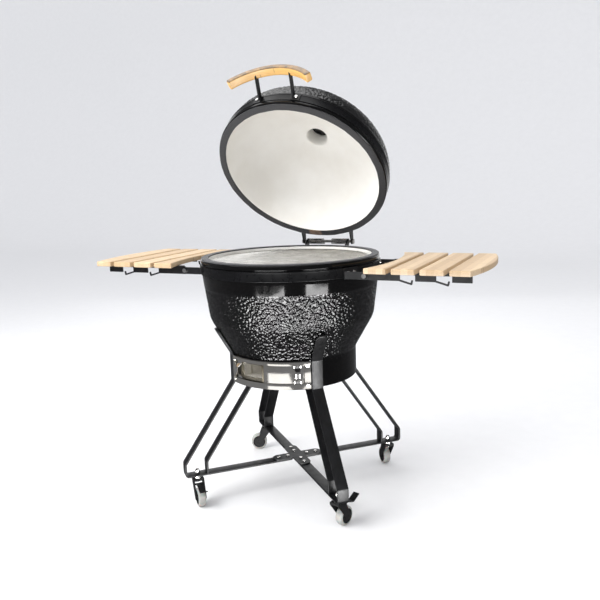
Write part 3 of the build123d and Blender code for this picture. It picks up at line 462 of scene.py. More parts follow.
class Graph:
    """A material's node tree, with a Principled shader at its end."""

    def __init__(self, name: str, coordinates: Coordinates = Coordinates.OBJECT) -> None:
        """Start a material whose patterns read object coordinates or the piece's own.

        Args:
            name: its name.
            coordinates: what the patterns read.
        """
        self.material = bpy.data.materials.new(name)
        self.material.use_nodes = True
        self.tree = self.material.node_tree
        self.shader = self.tree.nodes["Principled BSDF"]
        if coordinates is Coordinates.OBJECT:
            self.place = self.add("ShaderNodeTexCoord").outputs["Object"]
        else:
            self.place = self.add("ShaderNodeAttribute", attribute_name=OWN).outputs["Vector"]

    def add(self, kind: str, **settings: object) -> bpy.types.Node:
        """Add a node and set its properties.

        Args:
            kind: Blender's name of the node type.
            settings: properties of the node.

        Returns:
            The node.
        """
        node = self.tree.nodes.new(kind)
        for key, value in settings.items():
            setattr(node, key, value)
        return node

    def feed(self, node: bpy.types.Node, **inputs: object) -> bpy.types.Node:
        """Set or link inputs by name, with _ for a space; a socket links, anything else is a value.

        Args:
            node: the node to feed.
            inputs: values or sockets by input name.

        Returns:
            The same node.
        """
        for key, value in inputs.items():
            socket = node.inputs[int(key[1:])] if key[0] == "i" and key[1:].isdigit() else node.inputs[
                key.replace("_", " ")
            ]
            if isinstance(value, bpy.types.NodeSocket):
                self.tree.links.new(value, socket)
            else:
                socket.default_value = value
        return node

    def stretched(self, scale: Triple) -> bpy.types.NodeSocket:
        """The coordinates multiplied per axis."""
        return self.feed(self.add("ShaderNodeMapping"), Vector=self.place, Scale=scale).outputs["Vector"]

    def noise(
        self, scale: float, detail: float = 3.0, rough: float = 0.55, stretch: Triple | None = None,
    ) -> bpy.types.NodeSocket:
        """A noise value from 0 to 1; scale is cells per metre.

        Args:
            scale: factor on each axis, or cells per metre.
            detail: number of finer layers.
            rough: strength of the finer layers.
            stretch: factor on each axis.

        Returns:
            The noise socket.
        """
        place = self.stretched(stretch) if stretch else self.place
        node = self.feed(
            self.add("ShaderNodeTexNoise"), Vector=place, Scale=scale, Detail=detail, Roughness=rough,
        )
        return node.outputs["Fac"]

    def cells(
        self, scale: float, feature: str = "SMOOTH_F1", randomness: float = 1.0,
    ) -> bpy.types.NodeSocket:
        """The distance to the nearest cell centre; scale is cells per metre."""
        node = self.add("ShaderNodeTexVoronoi", feature=feature)
        return self.feed(node, Vector=self.place, Scale=scale, Randomness=randomness).outputs["Distance"]

    def ranged(
        self, value: bpy.types.NodeSocket, low: float, high: float, to_low: float, to_high: float,
        smooth: bool = False,
    ) -> bpy.types.NodeSocket:
        """Map one range of values onto another, clamped.

        Args:
            value: the number to map.
            low: the lower end.
            high: the upper end.
            to_low: what the lower end becomes.
            to_high: what the upper end becomes.
            smooth: ease in and out.

        Returns:
            The mapped socket.
        """
        node = self.add("ShaderNodeMapRange", interpolation_type="SMOOTHSTEP" if smooth else "LINEAR")
        for index, number in enumerate((low, high, to_low, to_high)):
            node.inputs[index + 1].default_value = number
        self.tree.links.new(value, node.inputs[0])
        return node.outputs[0]

    def maths(self, operation: str, a: object, b: object) -> bpy.types.NodeSocket:
        """One arithmetic step."""
        return self.feed(self.add("ShaderNodeMath", operation=operation), i0=a, i1=b).outputs[0]

    def tint(self, fac: object, low: Sequence[float], high: Sequence[float]) -> bpy.types.NodeSocket:
        """A colour between two colours, or between a colour socket and a colour.

        Args:
            fac: share of the second colour.
            low: the lower end.
            high: the upper end.

        Returns:
            The colour socket.
        """
        node = self.add("ShaderNodeMix", data_type="RGBA")
        for index, colour in ((6, low), (7, high)):
            if isinstance(colour, bpy.types.NodeSocket):
                self.tree.links.new(colour, node.inputs[index])
            else:
                node.inputs[index].default_value = (*colour, 1.0)
        if isinstance(fac, bpy.types.NodeSocket):
            self.tree.links.new(fac, node.inputs[0])
        else:
            node.inputs[0].default_value = fac
        return node.outputs[2]

    def value_of(self, name: str) -> bpy.types.NodeSocket:
        """A number painted on the piece's points."""
        return self.add("ShaderNodeAttribute", attribute_name=name).outputs["Fac"]

    def bump(
        self, height: bpy.types.NodeSocket, distance_mm: float, after: bpy.types.NodeSocket | None = None,
    ) -> bpy.types.NodeSocket:
        """A bump whose full height is a distance in millimetres.

        Args:
            height: the height's pattern, or a size in millimetres.
            distance_mm: full height in millimetres.
            after: a bump that lies under this one.

        Returns:
            The normal socket.
        """
        node = self.feed(self.add("ShaderNodeBump"), Height=height, Distance=distance_mm * MM, Strength=1.0)
        if after is not None:
            self.tree.links.new(after, node.inputs["Normal"])
        return node.outputs["Normal"]

    def finish(self, **inputs: object) -> bpy.types.Material:
        """Set the shader's inputs and hand over the material."""
        self.feed(self.shader, **inputs)
        return self.material


@dataclass(frozen=True)
class BlackGlaze:
    """Glossy black glaze: long waves, and on pebbled parts a finer grain and more gloss.

    Args:
        name: its name.
        ior: how much it mirrors.
        grain_mm: height of the fine grain, none when smooth.
        rough: lowest and highest roughness.
    """

    name: str = "black_glaze"
    ior: float = 1.30
    grain_mm: float = 0.0
    rough: Span = (0.05, 0.12)

    def material(self) -> bpy.types.Material:
        """Build the glaze.

        Returns:
            The finished material.
        """
        g = Graph(self.name)
        relief = g.bump(g.noise(28, 1.0), 0.07)
        if self.grain_mm:
            cells = g.ranged(g.cells(230), 0.05, 0.6, 1.0, 0.0, True)
            relief = g.bump(g.maths("ADD", cells, g.noise(520, 2.0)), self.grain_mm, relief)
        colour = g.tint(g.noise(9, 4.0), (0.0015, 0.0015, 0.0018), (0.005, 0.0048, 0.0046))
        rough = g.ranged(g.noise(55, 5.0), 0.35, 0.75, *self.rough)
        return g.finish(Base_Color=colour, Roughness=rough, Normal=relief, IOR=self.ior)


@dataclass(frozen=True)
class PlainFinish:
    """A finish of two mixed colours with roughness that varies and a fine bump.

    Args:
        name: its name.
        low: darker colour.
        high: lighter colour.
        rough: lowest and highest roughness.
        metal: 1 for bare metal.
        mottle: cells per metre of the colour change.
        grit: cells per metre of the bump.
        grit_mm: height of the bump.
        stretch: how much the patterns are stretched per axis.
        ior: how much it mirrors, where it isn't metal.
        under: share of light that passes under the surface.
    """

    name: str
    low: Triple
    high: Triple
    rough: Span
    metal: float = 0.0
    mottle: float = 14.0
    grit: float = 900.0
    grit_mm: float = 0.05
    stretch: Triple | None = None
    ior: float = 1.5
    under: float = 0.0

    def material(self) -> bpy.types.Material:
        """Build the finish.

        Returns:
            The finished material.
        """
        g = Graph(self.name)
        colour = g.tint(g.ranged(g.noise(self.mottle, 5.0), 0.3, 0.7, 0.0, 1.0), self.low, self.high)
        rough = g.ranged(g.noise(self.mottle * 3, 5.0, stretch=self.stretch), 0.3, 0.7, *self.rough)
        relief = g.bump(g.noise(self.grit, 3.0, stretch=self.stretch), self.grit_mm)
        g.finish(Base_Color=colour, Roughness=rough, Normal=relief, Metallic=self.metal, IOR=self.ior)
        if self.under:
            g.finish(Subsurface_Weight=self.under, Subsurface_Scale=0.004)
        return g.material


@dataclass(frozen=True)
class Felt:
    """Pressed felt with short fibres, and a brown glued joint where it is painted so."""

    name: str = "felt"

    def material(self) -> bpy.types.Material:
        """Build the felt.

        Returns:
            The finished material.
        """
        g = Graph(self.name)
        fibre = g.noise(900, 6.0, 0.7)
        pile = g.noise(160, 4.0, 0.6)
        grey = g.tint(g.ranged(fibre, 0.3, 0.75, 0.0, 1.0), (0.009, 0.009, 0.0105), (0.043, 0.043, 0.047))
        patch = g.maths(
            "MULTIPLY", g.value_of(JOINT_PATCH), g.ranged(g.noise(190, 4.0), 0.25, 0.6, 0.35, 1.0),
        )
        colour = g.tint(patch, grey, (0.19, 0.115, 0.07))
        relief = g.bump(fibre, 0.5, g.bump(pile, 0.8))
        return g.finish(
            Base_Color=colour, Roughness=0.92, Normal=relief, Sheen_Weight=0.25, Sheen_Roughness=0.5,
        )


@dataclass(frozen=True)
class Bamboo:
    """Laminated bamboo: strips side by side, each with its own tint, fine grain and darker nodes.

    Args:
        name: its name.
        low: darker colour of the strips.
        high: lighter colour of the strips.
        strip_mm: width of one strip.
        node_mm: spacing of the nodes along a strip.
        rough: lowest and highest roughness.
        shade_below_mm: distance across the piece below which painted shade darkens the face that lies in
            shadow.
        shade_colour: colour of that painted shade.
    """

    name: str = "bamboo"
    low: Triple = (0.43, 0.28, 0.14)
    high: Triple = (0.70, 0.53, 0.34)
    strip_mm: float = 21.0
    node_mm: float = 190.0
    rough: Span = (0.38, 0.62)
    shade_below_mm: float = -1e6
    shade_colour: Triple = (0.115, 0.085, 0.055)

    def material(self) -> bpy.types.Material:
        """Build the bamboo; the grain runs along the piece's own first axis.

        Returns:
            The finished material.
        """
        g = Graph(self.name, Coordinates.OWN)
        parts = g.feed(g.add("ShaderNodeSeparateXYZ"), Vector=g.place)
        along, across = parts.outputs[0], parts.outputs[1]
        strip = g.maths("FLOOR", g.maths("DIVIDE", across, self.strip_mm * MM), 0.0)
        strip_tint = g.feed(g.add("ShaderNodeTexWhiteNoise", noise_dimensions="1D"), W=strip).outputs["Value"]
        grain = g.noise(1.0, 5.0, 0.6, (9.0, 420.0, 420.0))
        fibre = g.noise(1.0, 3.0, 0.6, (34.0, 1500.0, 1500.0))
        mixed = g.maths("ADD", g.maths("MULTIPLY", strip_tint, 0.38), g.maths("MULTIPLY", grain, 0.62))
        base = g.tint(g.ranged(mixed, 0.2, 0.75, 0.0, 1.0), self.low, self.high)
        shift = g.maths(
            "ADD", g.maths("DIVIDE", along, self.node_mm * MM), g.maths("MULTIPLY", strip_tint, 7.3),
        )
        gap = g.maths("ABSOLUTE", g.maths("SUBTRACT", g.maths("FRACT", shift, 0.0), 0.5), 0.0)
        node = g.ranged(gap, 0.0, 0.016, 0.6, 0.0, True)
        seam_gap = g.maths(
            "ABSOLUTE",
            g.maths("SUBTRACT", g.maths("FRACT", g.maths("DIVIDE", across, self.strip_mm * MM), 0.0), 0.5),
            0.0,
        )
        seam = g.ranged(seam_gap, 0.478, 0.5, 0.0, 0.45, True)
        streak = g.ranged(fibre, 0.55, 0.8, 0.0, 0.30)
        dark = g.maths("MAXIMUM", g.maths("MAXIMUM", node, seam), streak)
        # Painted shade: below the given distance across, the face is darkened, a little unevenly, towards the
        # brown-grey shade colour, as it lies in shadow.
        painted_shade = g.ranged(across, (self.shade_below_mm - 1.2) * MM, (self.shade_below_mm + 1.2) * MM, 1.0, 0.0, True)
        painted_shade = g.maths("MULTIPLY", painted_shade, g.ranged(g.noise(60, 5.0), 0.3, 0.65, 0.65, 1.0))
        colour = g.tint(painted_shade, g.tint(dark, base, (0.20, 0.10, 0.04)), self.shade_colour)
        relief = g.bump(fibre, 0.12, g.bump(g.maths("SUBTRACT", 1.0, seam), 0.25))
        rough = g.ranged(grain, 0.3, 0.7, *self.rough)
        return g.finish(
            Base_Color=colour, Roughness=rough, Normal=relief, Coat_Weight=0.12, Coat_Roughness=0.35,
        )


class Finishes:
    """All the materials, each built once."""

    def __init__(self) -> None:
        """Build every finish."""
        plain = [
            PlainFinish(
                "cream_ceramic", (0.83, 0.81, 0.76), (0.92, 0.91, 0.875), (0.55, 0.8), mottle=7, grit=520,
                grit_mm=0.16,
            ),
            PlainFinish(
                "black_steel", (0.0035, 0.0035, 0.004), (0.010, 0.010, 0.0115), (0.30, 0.46), mottle=22,
                grit=1500, grit_mm=0.05, ior=1.36,
            ),
            PlainFinish(
                "band_steel", (0.0025, 0.0026, 0.003), (0.006, 0.006, 0.0068), (0.24, 0.36), mottle=16,
                grit=1400, grit_mm=0.03, ior=1.26,
            ),
            PlainFinish(
                "polished_steel", (0.72, 0.69, 0.63), (0.84, 0.82, 0.78), (0.07, 0.16), 1.0, 10, 300, 0.012,
                (1.0, 1.0, 14.0),
            ),
            PlainFinish(
                "brushed_steel", (0.52, 0.51, 0.48), (0.75, 0.74, 0.71), (0.22, 0.42), 1.0, 18, 260, 0.05,
                (0.3, 9.0, 9.0),
            ),
            # Painted shade: the screen's wire takes a metal colour far darker than steel's, standing for the
            # shadow the screen lies in.
            PlainFinish(
                "shaded_mesh_steel", (0.075, 0.066, 0.05), (0.125, 0.112, 0.085), (0.35, 0.5), 1.0, 30, 600, 0.02,
            ),
            PlainFinish(
                "bright_hardware", (0.66, 0.65, 0.63), (0.85, 0.84, 0.82), (0.10, 0.22), 1.0, 60, 900, 0.02,
            ),
            PlainFinish(
                "cast_iron", (0.016, 0.015, 0.014), (0.045, 0.042, 0.040), (0.5, 0.75), 0.4, 45, 420, 0.25,
            ),
            PlainFinish(
                "black_plastic", (0.004, 0.004, 0.0045), (0.011, 0.011, 0.0115), (0.42, 0.6), mottle=70,
                grit=1600, grit_mm=0.05, ior=1.25,
            ),
            PlainFinish(
                "grey_tread", (0.34, 0.34, 0.315), (0.47, 0.47, 0.44), (0.4, 0.6), mottle=50, grit=1100,
                grit_mm=0.06, ior=1.35, under=0.3,
            ),
        ]
        pebbled = BlackGlaze("pebbled_glaze", 1.44, 0.3, (0.05, 0.10))
        self.found = {
            finish.name: finish.material() for finish in (*plain, BlackGlaze(), pebbled, Felt(), Bamboo())
        }
        # The grip's front face, below 28.5 mm across, gets painted shade, as it lies in shadow.
        grip = Bamboo("grip_bamboo", (0.62, 0.32, 0.085), (0.86, 0.52, 0.17), 14.0, 150.0, (0.25, 0.45), 28.5)
        self.found[grip.name] = grip.material()

    def __getitem__(self, name: str) -> bpy.types.Material:
        """The material of a name."""
        return self.found[name]


# ------------------------------------------------------------------ ceramic bowl and lid
@dataclass
class CeramicBowl:
    """The black glazed bowl with its draft port; sizes in millimetres."""

    foot_r: float = 206.0
    foot_z: float = 395.0
    foot_top_z: float = 485.0
    shoulder_r: float = 266.5
    shoulder_z: float = 592.0
    band_r: float = 285.0
    band_z: Span = (734.0, 770.0)
    rim_r: float = 288.0
    rim_z: float = 784.0
    wall: float = 25.0
    floor_t: float = 28.0
    port_az: Span = (-23.0, -2.0)
    port_z: Span = (427.0, 467.0)
    pebble_z: Span = (490.0, 696.0)
    columns: int = 448
    pebbles: Pebbles = field(default_factory=Pebbles)

    def radius_at(self, z: float) -> float:
        """Radius of the straight upper side at a height."""
        rise = (z - self.shoulder_z) / (self.band_z[0] - self.shoulder_z)
        return self.shoulder_r + (self.band_r - self.shoulder_r) * rise

    def outline(self) -> tuple[np.ndarray, int]:
        """The wall's outline from the middle of its underside, up, over the rim and down inside.

        Returns:
            The (radius, height) points, and the number of points before the inside starts.
        """
        outside = rounded([
            (0, self.foot_z, 0), (self.foot_r, self.foot_z, 5), (self.foot_r, self.port_z[0], 0),
            (self.foot_r, self.port_z[1], 0), (self.foot_r, self.foot_top_z, 10),
            (self.shoulder_r, self.shoulder_z, 70), (self.radius_at(self.pebble_z[1]), self.pebble_z[1], 0),
            (self.band_r, self.band_z[0], 0), (
                self.band_r, self.band_z[1], 2,
            ), (self.rim_r, self.band_z[1], 2), (self.rim_r, self.rim_z, 5),
            (self.rim_r - self.wall, self.rim_z, 0),
        ], closed=False)
        inner = self.foot_r - self.wall
        inside = rounded([
            (self.rim_r - self.wall, self.rim_z, 0), (self.band_r - self.wall, self.band_z[0], 8),
            (self.shoulder_r - self.wall, self.shoulder_z, 70), (inner, self.foot_top_z, 10),
            (inner, self.port_z[1], 0), (inner, self.port_z[0], 0), (inner, self.foot_z + self.floor_t, 0),
            (0, self.foot_z + self.floor_t, 0),
        ], closed=False)
        outside = spread(outside, 7.0)
        return np.concatenate([outside, spread(inside, 14.0)[1:]]), len(outside)

    def azimuths(self) -> np.ndarray:
        """Azimuths all the way round, with one at each side of the port.

        Returns:
            The azimuths, in order.
        """
        even = np.arange(self.columns) * FULL_TURN / self.columns - 180
        low, high = self.port_az
        near = np.abs(even[:, None] - np.array([low, high])[None]).min(1)
        return np.sort(np.concatenate([even[near > 0.5], [low, high]]))

    def build(self, finishes: Finishes) -> None:
        """Build the wall with its port and the four reveals of the port.

        Args:
            finishes: the materials, by name.
        """
        outline, inside_at = self.outline()
        azimuths = self.azimuths()
        points = revolved(outline, azimuths)
        middle_z = (outline[1:, 1] + outline[:-1, 1]) / 2
        middle_r = (outline[1:, 0] + outline[:-1, 0]) / 2
        in_rows = (middle_z > self.port_z[0]) & (middle_z < self.port_z[1]) & (
            middle_r > self.foot_r - self.wall - 1
        )
        ends = np.append(azimuths, azimuths[0] + FULL_TURN)
        middle_az = (ends[1:] + ends[:-1]) / 2
        in_columns = (middle_az > self.port_az[0]) & (middle_az < self.port_az[1])
        outside = np.arange(len(outline) - 1) < inside_at - 1
        pebbled = outside & (middle_z > self.pebble_z[0]) & (middle_z < self.pebble_z[1])
        keep = ~(in_columns[:, None] & in_rows[None, :]) & ~pebbled[None, :]
        slot = np.where(outside, 0, 1)
        wall = Patch(points, close_rows=True, close_columns=False, cap=False, slot=slot[None, :], keep=keep)
        build_piece(
            "bowl_shell", [wall, self.reveal(azimuths)], [finishes["black_glaze"], finishes["cream_ceramic"]],
            "base", ["base_bowl"], weld=True,
        )
        strip = spread(outline[np.append(pebbled, False) | np.append(False, pebbled)], 2.1)
        around = np.arange(2 * self.columns) * FULL_TURN / (2 * self.columns) - 180
        coat = Patch(self.pebbles.sink(strip, around), close_rows=True, close_columns=False, cap=False)
        build_piece(
            "bowl_pebbles", [coat], [finishes["pebbled_glaze"]], "base", ["base_bowl"],
            sharp_deg=180,
        )

    def reveal(self, azimuths: np.ndarray) -> Patch:
        """The port's four sides, a loop of points between the outside and inside radius.

        Args:
            azimuths: degrees from the front.

        Returns:
            The four sides as one strip.
        """
        across = azimuths[(azimuths >= self.port_az[0]) & (azimuths <= self.port_az[1])]
        up = spread(np.array([[0.0, self.port_z[0]], [0.0, self.port_z[1]]]), 7.0)[:, 1]
        az = np.concatenate(
            [across, np.full(len(up) - 2, across[-1]), across[::-1], np.full(len(up) - 2, across[0])]
        )
        z = np.concatenate([np.full(len(across), up[0]), up[1:-1], np.full(len(across), up[-1]), up[-2:0:-1]])
        sides = [
            np.stack(
                [r * np.sin(np.radians(az)), -r * np.cos(np.radians(az)), z], -1,
            ) for r in (self.foot_r, self.foot_r - self.wall)
        ]
        return Patch(np.stack(sides, 1), close_rows=True, close_columns=False, cap=False, slot=1)


@dataclass
class CeramicLid:
    """The domed lid, pebbled above its band, with the smoke neck; drawn closed, in millimetres."""

    lid_z: float = 792.4
    lip_h: float = 12.0
    rim_r: float = 288.0
    inner_r: float = 263.0
    band_r: float = 285.0
    band_top_z: float = 840.4
    top_z: float = 1018.0
    thick: float = 36.0
    neck_r: float = 60.0
    neck_z: float = 1040.0
    bore_r: float = 36.0
    columns: int = 448
    pebbles: Pebbles = field(default_factory=Pebbles)

    @staticmethod
    def dome(foot_r: float, foot_z: float, top_r: float, top_z: float, count: int) -> np.ndarray:
        """A quarter ellipse, radius foot_r cos t and height h sin t, cut off where it meets top_r.

        Args:
            foot_r: radius at its foot.
            foot_z: height of its foot.
            top_r: radius where it is cut off.
            top_z: height of the cut.
            count: how many points or rows.

        Returns:
            The (radius, height) points, from the foot up.
        """
        height = (top_z - foot_z) / math.sqrt(1 - (top_r / foot_r) ** 2)
        t = np.linspace(0, math.acos(top_r / foot_r), count)
        return np.stack([foot_r * np.cos(t), foot_z + height * np.sin(t)], 1)

    def build(self, finishes: Finishes) -> None:
        """Build the shell, glazed outside and bare cream inside.

        Args:
            finishes: the materials, by name.
        """
        lip_z = self.lid_z + self.lip_h
        rim = rounded([
            (self.inner_r, self.lid_z, 0), (self.rim_r, self.lid_z, 5), (self.rim_r, lip_z, 2),
            (self.band_r, lip_z, 2), (self.band_r, self.band_top_z, 0),
        ], closed=False)
        outer = self.dome(self.band_r, self.band_top_z, self.neck_r, self.top_z, 46)
        neck = rounded([
            (self.neck_r, self.top_z, 0), (self.neck_r, self.neck_z, 4), (self.bore_r, self.neck_z, 3),
            (self.bore_r, self.top_z - self.thick + 6, 0),
        ], closed=False)
        flare_t = np.linspace(0, math.pi / 2, 6)[1:]
        flare = np.stack(
            [self.bore_r + 6 - 6 * np.cos(flare_t), self.top_z - self.thick + 6 - 6 * np.sin(flare_t)], 1,
        )
        inner = self.dome(self.inner_r, lip_z, self.bore_r + 6, self.top_z - self.thick, 40)[::-1]
        outline = np.concatenate([rim, outer[1:], neck[1:], flare, inner[1:]])
        glazed = len(rim) + len(outer) + 10
        middle = np.arange(len(outline) - 1)
        pebbled = (middle >= len(rim)) & (middle < len(rim) + len(outer) - 3)
        around = np.arange(self.columns) * FULL_TURN / self.columns
        slot = np.where(np.arange(len(outline)) < glazed, 0, 1)
        shell = Patch(
            SWING.opened(revolved(outline, around)), close_rows=True, cap=False, slot=slot[None, :],
            keep=np.append(~pebbled, True)[None, :] & np.full((self.columns, 1), True),
        )
        build_piece(
            "lid_shell", [shell], [finishes["black_glaze"], finishes["cream_ceramic"]],
            "lid", ["lid_dome"],
        )
        strip = spread(outline[np.append(pebbled, False) | np.append(False, pebbled)], 3.0)
        fine = np.arange(2 * self.columns) * FULL_TURN / (2 * self.columns)
        coat = Patch(
            SWING.opened(self.pebbles.sink(strip, fine)), close_rows=True, close_columns=False, cap=False,
        )
        build_piece(
            "lid_pebbles", [coat], [finishes["pebbled_glaze"]], "lid", ["lid_dome"],
            sharp_deg=180,
        )


@dataclass
class RimRings:
    """The felt seals and the steel bands on bowl and lid."""

    felt_r: Span = (263.0, 285.0)
    felt_z: Span = (784.0, 788.0)
    lid_felt_z: Span = (788.4, 792.4)
    band_r: float = 285.0
    band_t: float = 2.0
    band_h: float = 30.0
    base_band_z: float = 737.0
    lid_band_z: float = 807.4
    joint_az: Span = (181.0, 192.0)

    def felt(self, low: float, high: float) -> Patch:
        """A felt ring whose faces and sides wander by a fraction of a millimetre.

        The wander is a sum of three sines of the azimuth, added to radius and height.

        Args:
            low: the lower end.
            high: the upper end.

        Returns:
            The ring of felt.
        """
        inner, outer = self.felt_r
        section = rounded(
            [(inner, low, 1.2), (outer, low, 1.6), (outer, high, 1.6), (inner, high, 1.2)], True, 4,
        )
        section = spread(section, 5.0, closed=True)
        azimuths = np.arange(300) * FULL_TURN / 300
        a = np.radians(azimuths)[:, None]
        ring = revolved(section, azimuths)
        wander = 0.35 * np.sin(17 * a + 0.4) + 0.25 * np.sin(29 * a + 2.1) + 0.2 * np.sin(53 * a)
        scale = 1 + wander / outer
        ring[..., :2] *= scale[..., None]
        near = np.clip(
            (azimuths - self.joint_az[0]) / 1.5, 0, 1,
        ) * np.clip((self.joint_az[1] - azimuths) / 1.5, 0, 1)
        return Patch(ring, close_rows=True, joint=near[:, None])

    def band(self, low: float) -> Patch:
        """A strap round the ceramic with rolled edges, which stand 0.7 mm prouder than its face.

        Args:
            low: the lower end.

        Returns:
            The strap.
        """
        inner, face, high = self.band_r, self.band_r + self.band_t, low + self.band_h
        bead = 0.7
        section = rounded([
            (inner, low, 0), (face + bead, low, 0.9), (face + bead, low + 3, 0.5), (face, low + 4.2, 1),
            (face, high - 4.2, 1), (face + bead, high - 3, 0.5), (face + bead, high, 0.9), (inner, high, 0),
        ], True, 4)
        return turned_ring(section, 264)

    def build(self, finishes: Finishes) -> None:
        """Build two felts and two bands.

        Args:
            finishes: the materials, by name.
        """
        base_felt = self.felt(*self.felt_z)
        base_felt.joint = None
        build_piece("bowl_felt", [base_felt], [finishes["felt"]], "base", ["base_gasket"])
        lid_felt = self.felt(*self.lid_felt_z)
        lid_felt.points = SWING.opened(lid_felt.points)
        build_piece("lid_felt", [lid_felt], [finishes["felt"]], "lid", ["lid_gasket"])
        build_piece(
            "bowl_band", [self.band(self.base_band_z)], [finishes["band_steel"]], "base", ["base_band"],
        )
        lid_band = self.band(self.lid_band_z)
        lid_band.points = SWING.opened(lid_band.points)
        build_piece("lid_strap", [lid_band], [finishes["band_steel"]], "lid", ["lid_band"])


# ------------------------------------------------------------------ handle
@dataclass
class Handle:
    """The arched bamboo grip of the lid, drawn closed."""

    half: float = 133.0
    sag: float = 57.0
    y: float = -350.0
    top_z: float = 869.0
    depth: float = 28.0
    height: float = 20.0
    corner: float = 5.0

    def build(self, finishes: Finishes) -> None:
        """Build the grip: a rounded section carried along an arc, its ends rounded over.

        A point is at angle t on the arc of radius R + h, at depth d; near an end the section draws
        in along a quarter circle.

        Args:
            finishes: the materials, by name.
        """
        radius = (self.half ** 2 + self.sag ** 2) / (2 * self.sag)
        reach = math.asin(self.half / radius)
        section = spread(bar_section(self.depth, self.height, self.corner), 3.0, closed=True)
        over = np.radians(np.linspace(0, 90, 6))
        round_r = 4.0
        lengths = np.concatenate([
            -radius * reach + round_r * (1 - np.cos(over)), np.linspace(
                -radius * reach + round_r, radius * reach - round_r, 60,
            )[1:-1],
            radius * reach - round_r * (1 - np.cos(over[::-1])),
        ])
        draw_in = np.concatenate(
            [round_r * (1 - np.sin(over)), np.zeros(58), round_r * (1 - np.sin(over[::-1]))]
        )
        d = section[None, :, 0] * (1 - 2 * draw_in[:, None] / self.depth)
        h = section[None, :, 1] * (1 - 2 * draw_in[:, None] / self.height)
        t = lengths[:, None] / radius
        centre_z = self.top_z - radius
        points = np.stack(
            [(radius + h) * np.sin(t), self.y + d + 0 * t, centre_z + (radius + h) * np.cos(t)], -1,
        )
        # The second axis, d + 40, puts the grip's front face below 28.5 mm across, where its bamboo carries
        # painted shade.
        own = np.stack([lengths[:, None] + 0 * d, d + 40, h + 90 + 0 * d], -1)
        build_piece(
            "grip", [
                Patch(SWING.opened(points), own=own)
            ], [finishes["grip_bamboo"]], "lid", ["handle_grip"],
        )


# ------------------------------------------------------------------ hinge springs
@dataclass
class HingeSprings:
    """Two coil springs round the hinge pin."""

    radius: float = 9.3
    wire: float = 1.65
    start: float = 75.5
    length: float = 62.0
    turns: int = 15

    def build(self, finishes: Finishes) -> None:
        """Build the coils, closed up at their ends.

        The wire's middle is at (start - pitch t, R cos t, R sin t).

        Args:
            finishes: the materials, by name.
        """
        patches = []
        for side in (-1, 1):
            t = np.linspace(0, self.turns * 2 * math.pi, self.turns * 18)
            even = t / t[-1]
            x = side * (
                self.start - self.wire - (self.length - 2 * self.wire) * (
                    even + 0.02 * np.sin(2 * math.pi * even)
                )
            )
            path = np.stack([x, SWING.y + self.radius * np.cos(t), SWING.z + self.radius * np.sin(t)], 1)
            patches.append(Patch(tube(path, self.wire, 8)))
        build_piece(
            "coil_springs", patches, [finishes["bright_hardware"]], "base", ["hinge_springs"],
        )


# ------------------------------------------------------------------ grates
@dataclass
class CookingGrate:
    """Round bars in a flat ring, with two bars across them."""

    radius: float = 256.0
    ring_w: float = 7.0
    ring_h: float = 10.0
    bar_r: float = 3.0
    pitch: float = 16.0
    bar_z: float = 772.0
    cross_x: Span = (-120.0, 120.0)

    def build(self, finishes: Finishes) -> None:
        """Build the bars as tubes with flat-capped ends hidden in the ring.

        Args:
            finishes: the materials, by name.
        """
        low = self.bar_z - self.ring_h / 2
        inner = self.radius - self.ring_w
        section = rounded([
            (inner, low, 1.5), (self.radius, low, 1.5), (
                self.radius, low + self.ring_h, 2.5,
            ), (inner, low + self.ring_h, 2.5),
        ], True, 4)
        patches = [turned_ring(section, 192)]
        reach = self.radius - self.ring_w / 2
        count = int((reach - self.ring_w) // self.pitch)
        for i in range(-count, count + 1):
            half = math.sqrt(reach ** 2 - (i * self.pitch) ** 2)
            x = np.linspace(-half, half, 12)
            path = np.stack([x, np.full(12, i * self.pitch), np.full(12, self.bar_z)], 1)
            patches.append(Patch(tube(path, self.bar_r, 10)))
        for x in self.cross_x:
            half = math.sqrt(reach ** 2 - x ** 2)
            path = np.stack([np.linspace(-half, half, 12), np.full(12, self.bar_z + self.bar_r / 2)], 1)
            flat = swept(path, bar_section(2 * self.bar_r, self.bar_r, 0.8, 3))
            patches.append(Patch(turn_z(flat, 90) + np.array([x, 0, 0])))
        build_piece(
            "grate_bars", patches, [finishes["brushed_steel"]], "cooking_grate", ["cooking_grate"],
        )


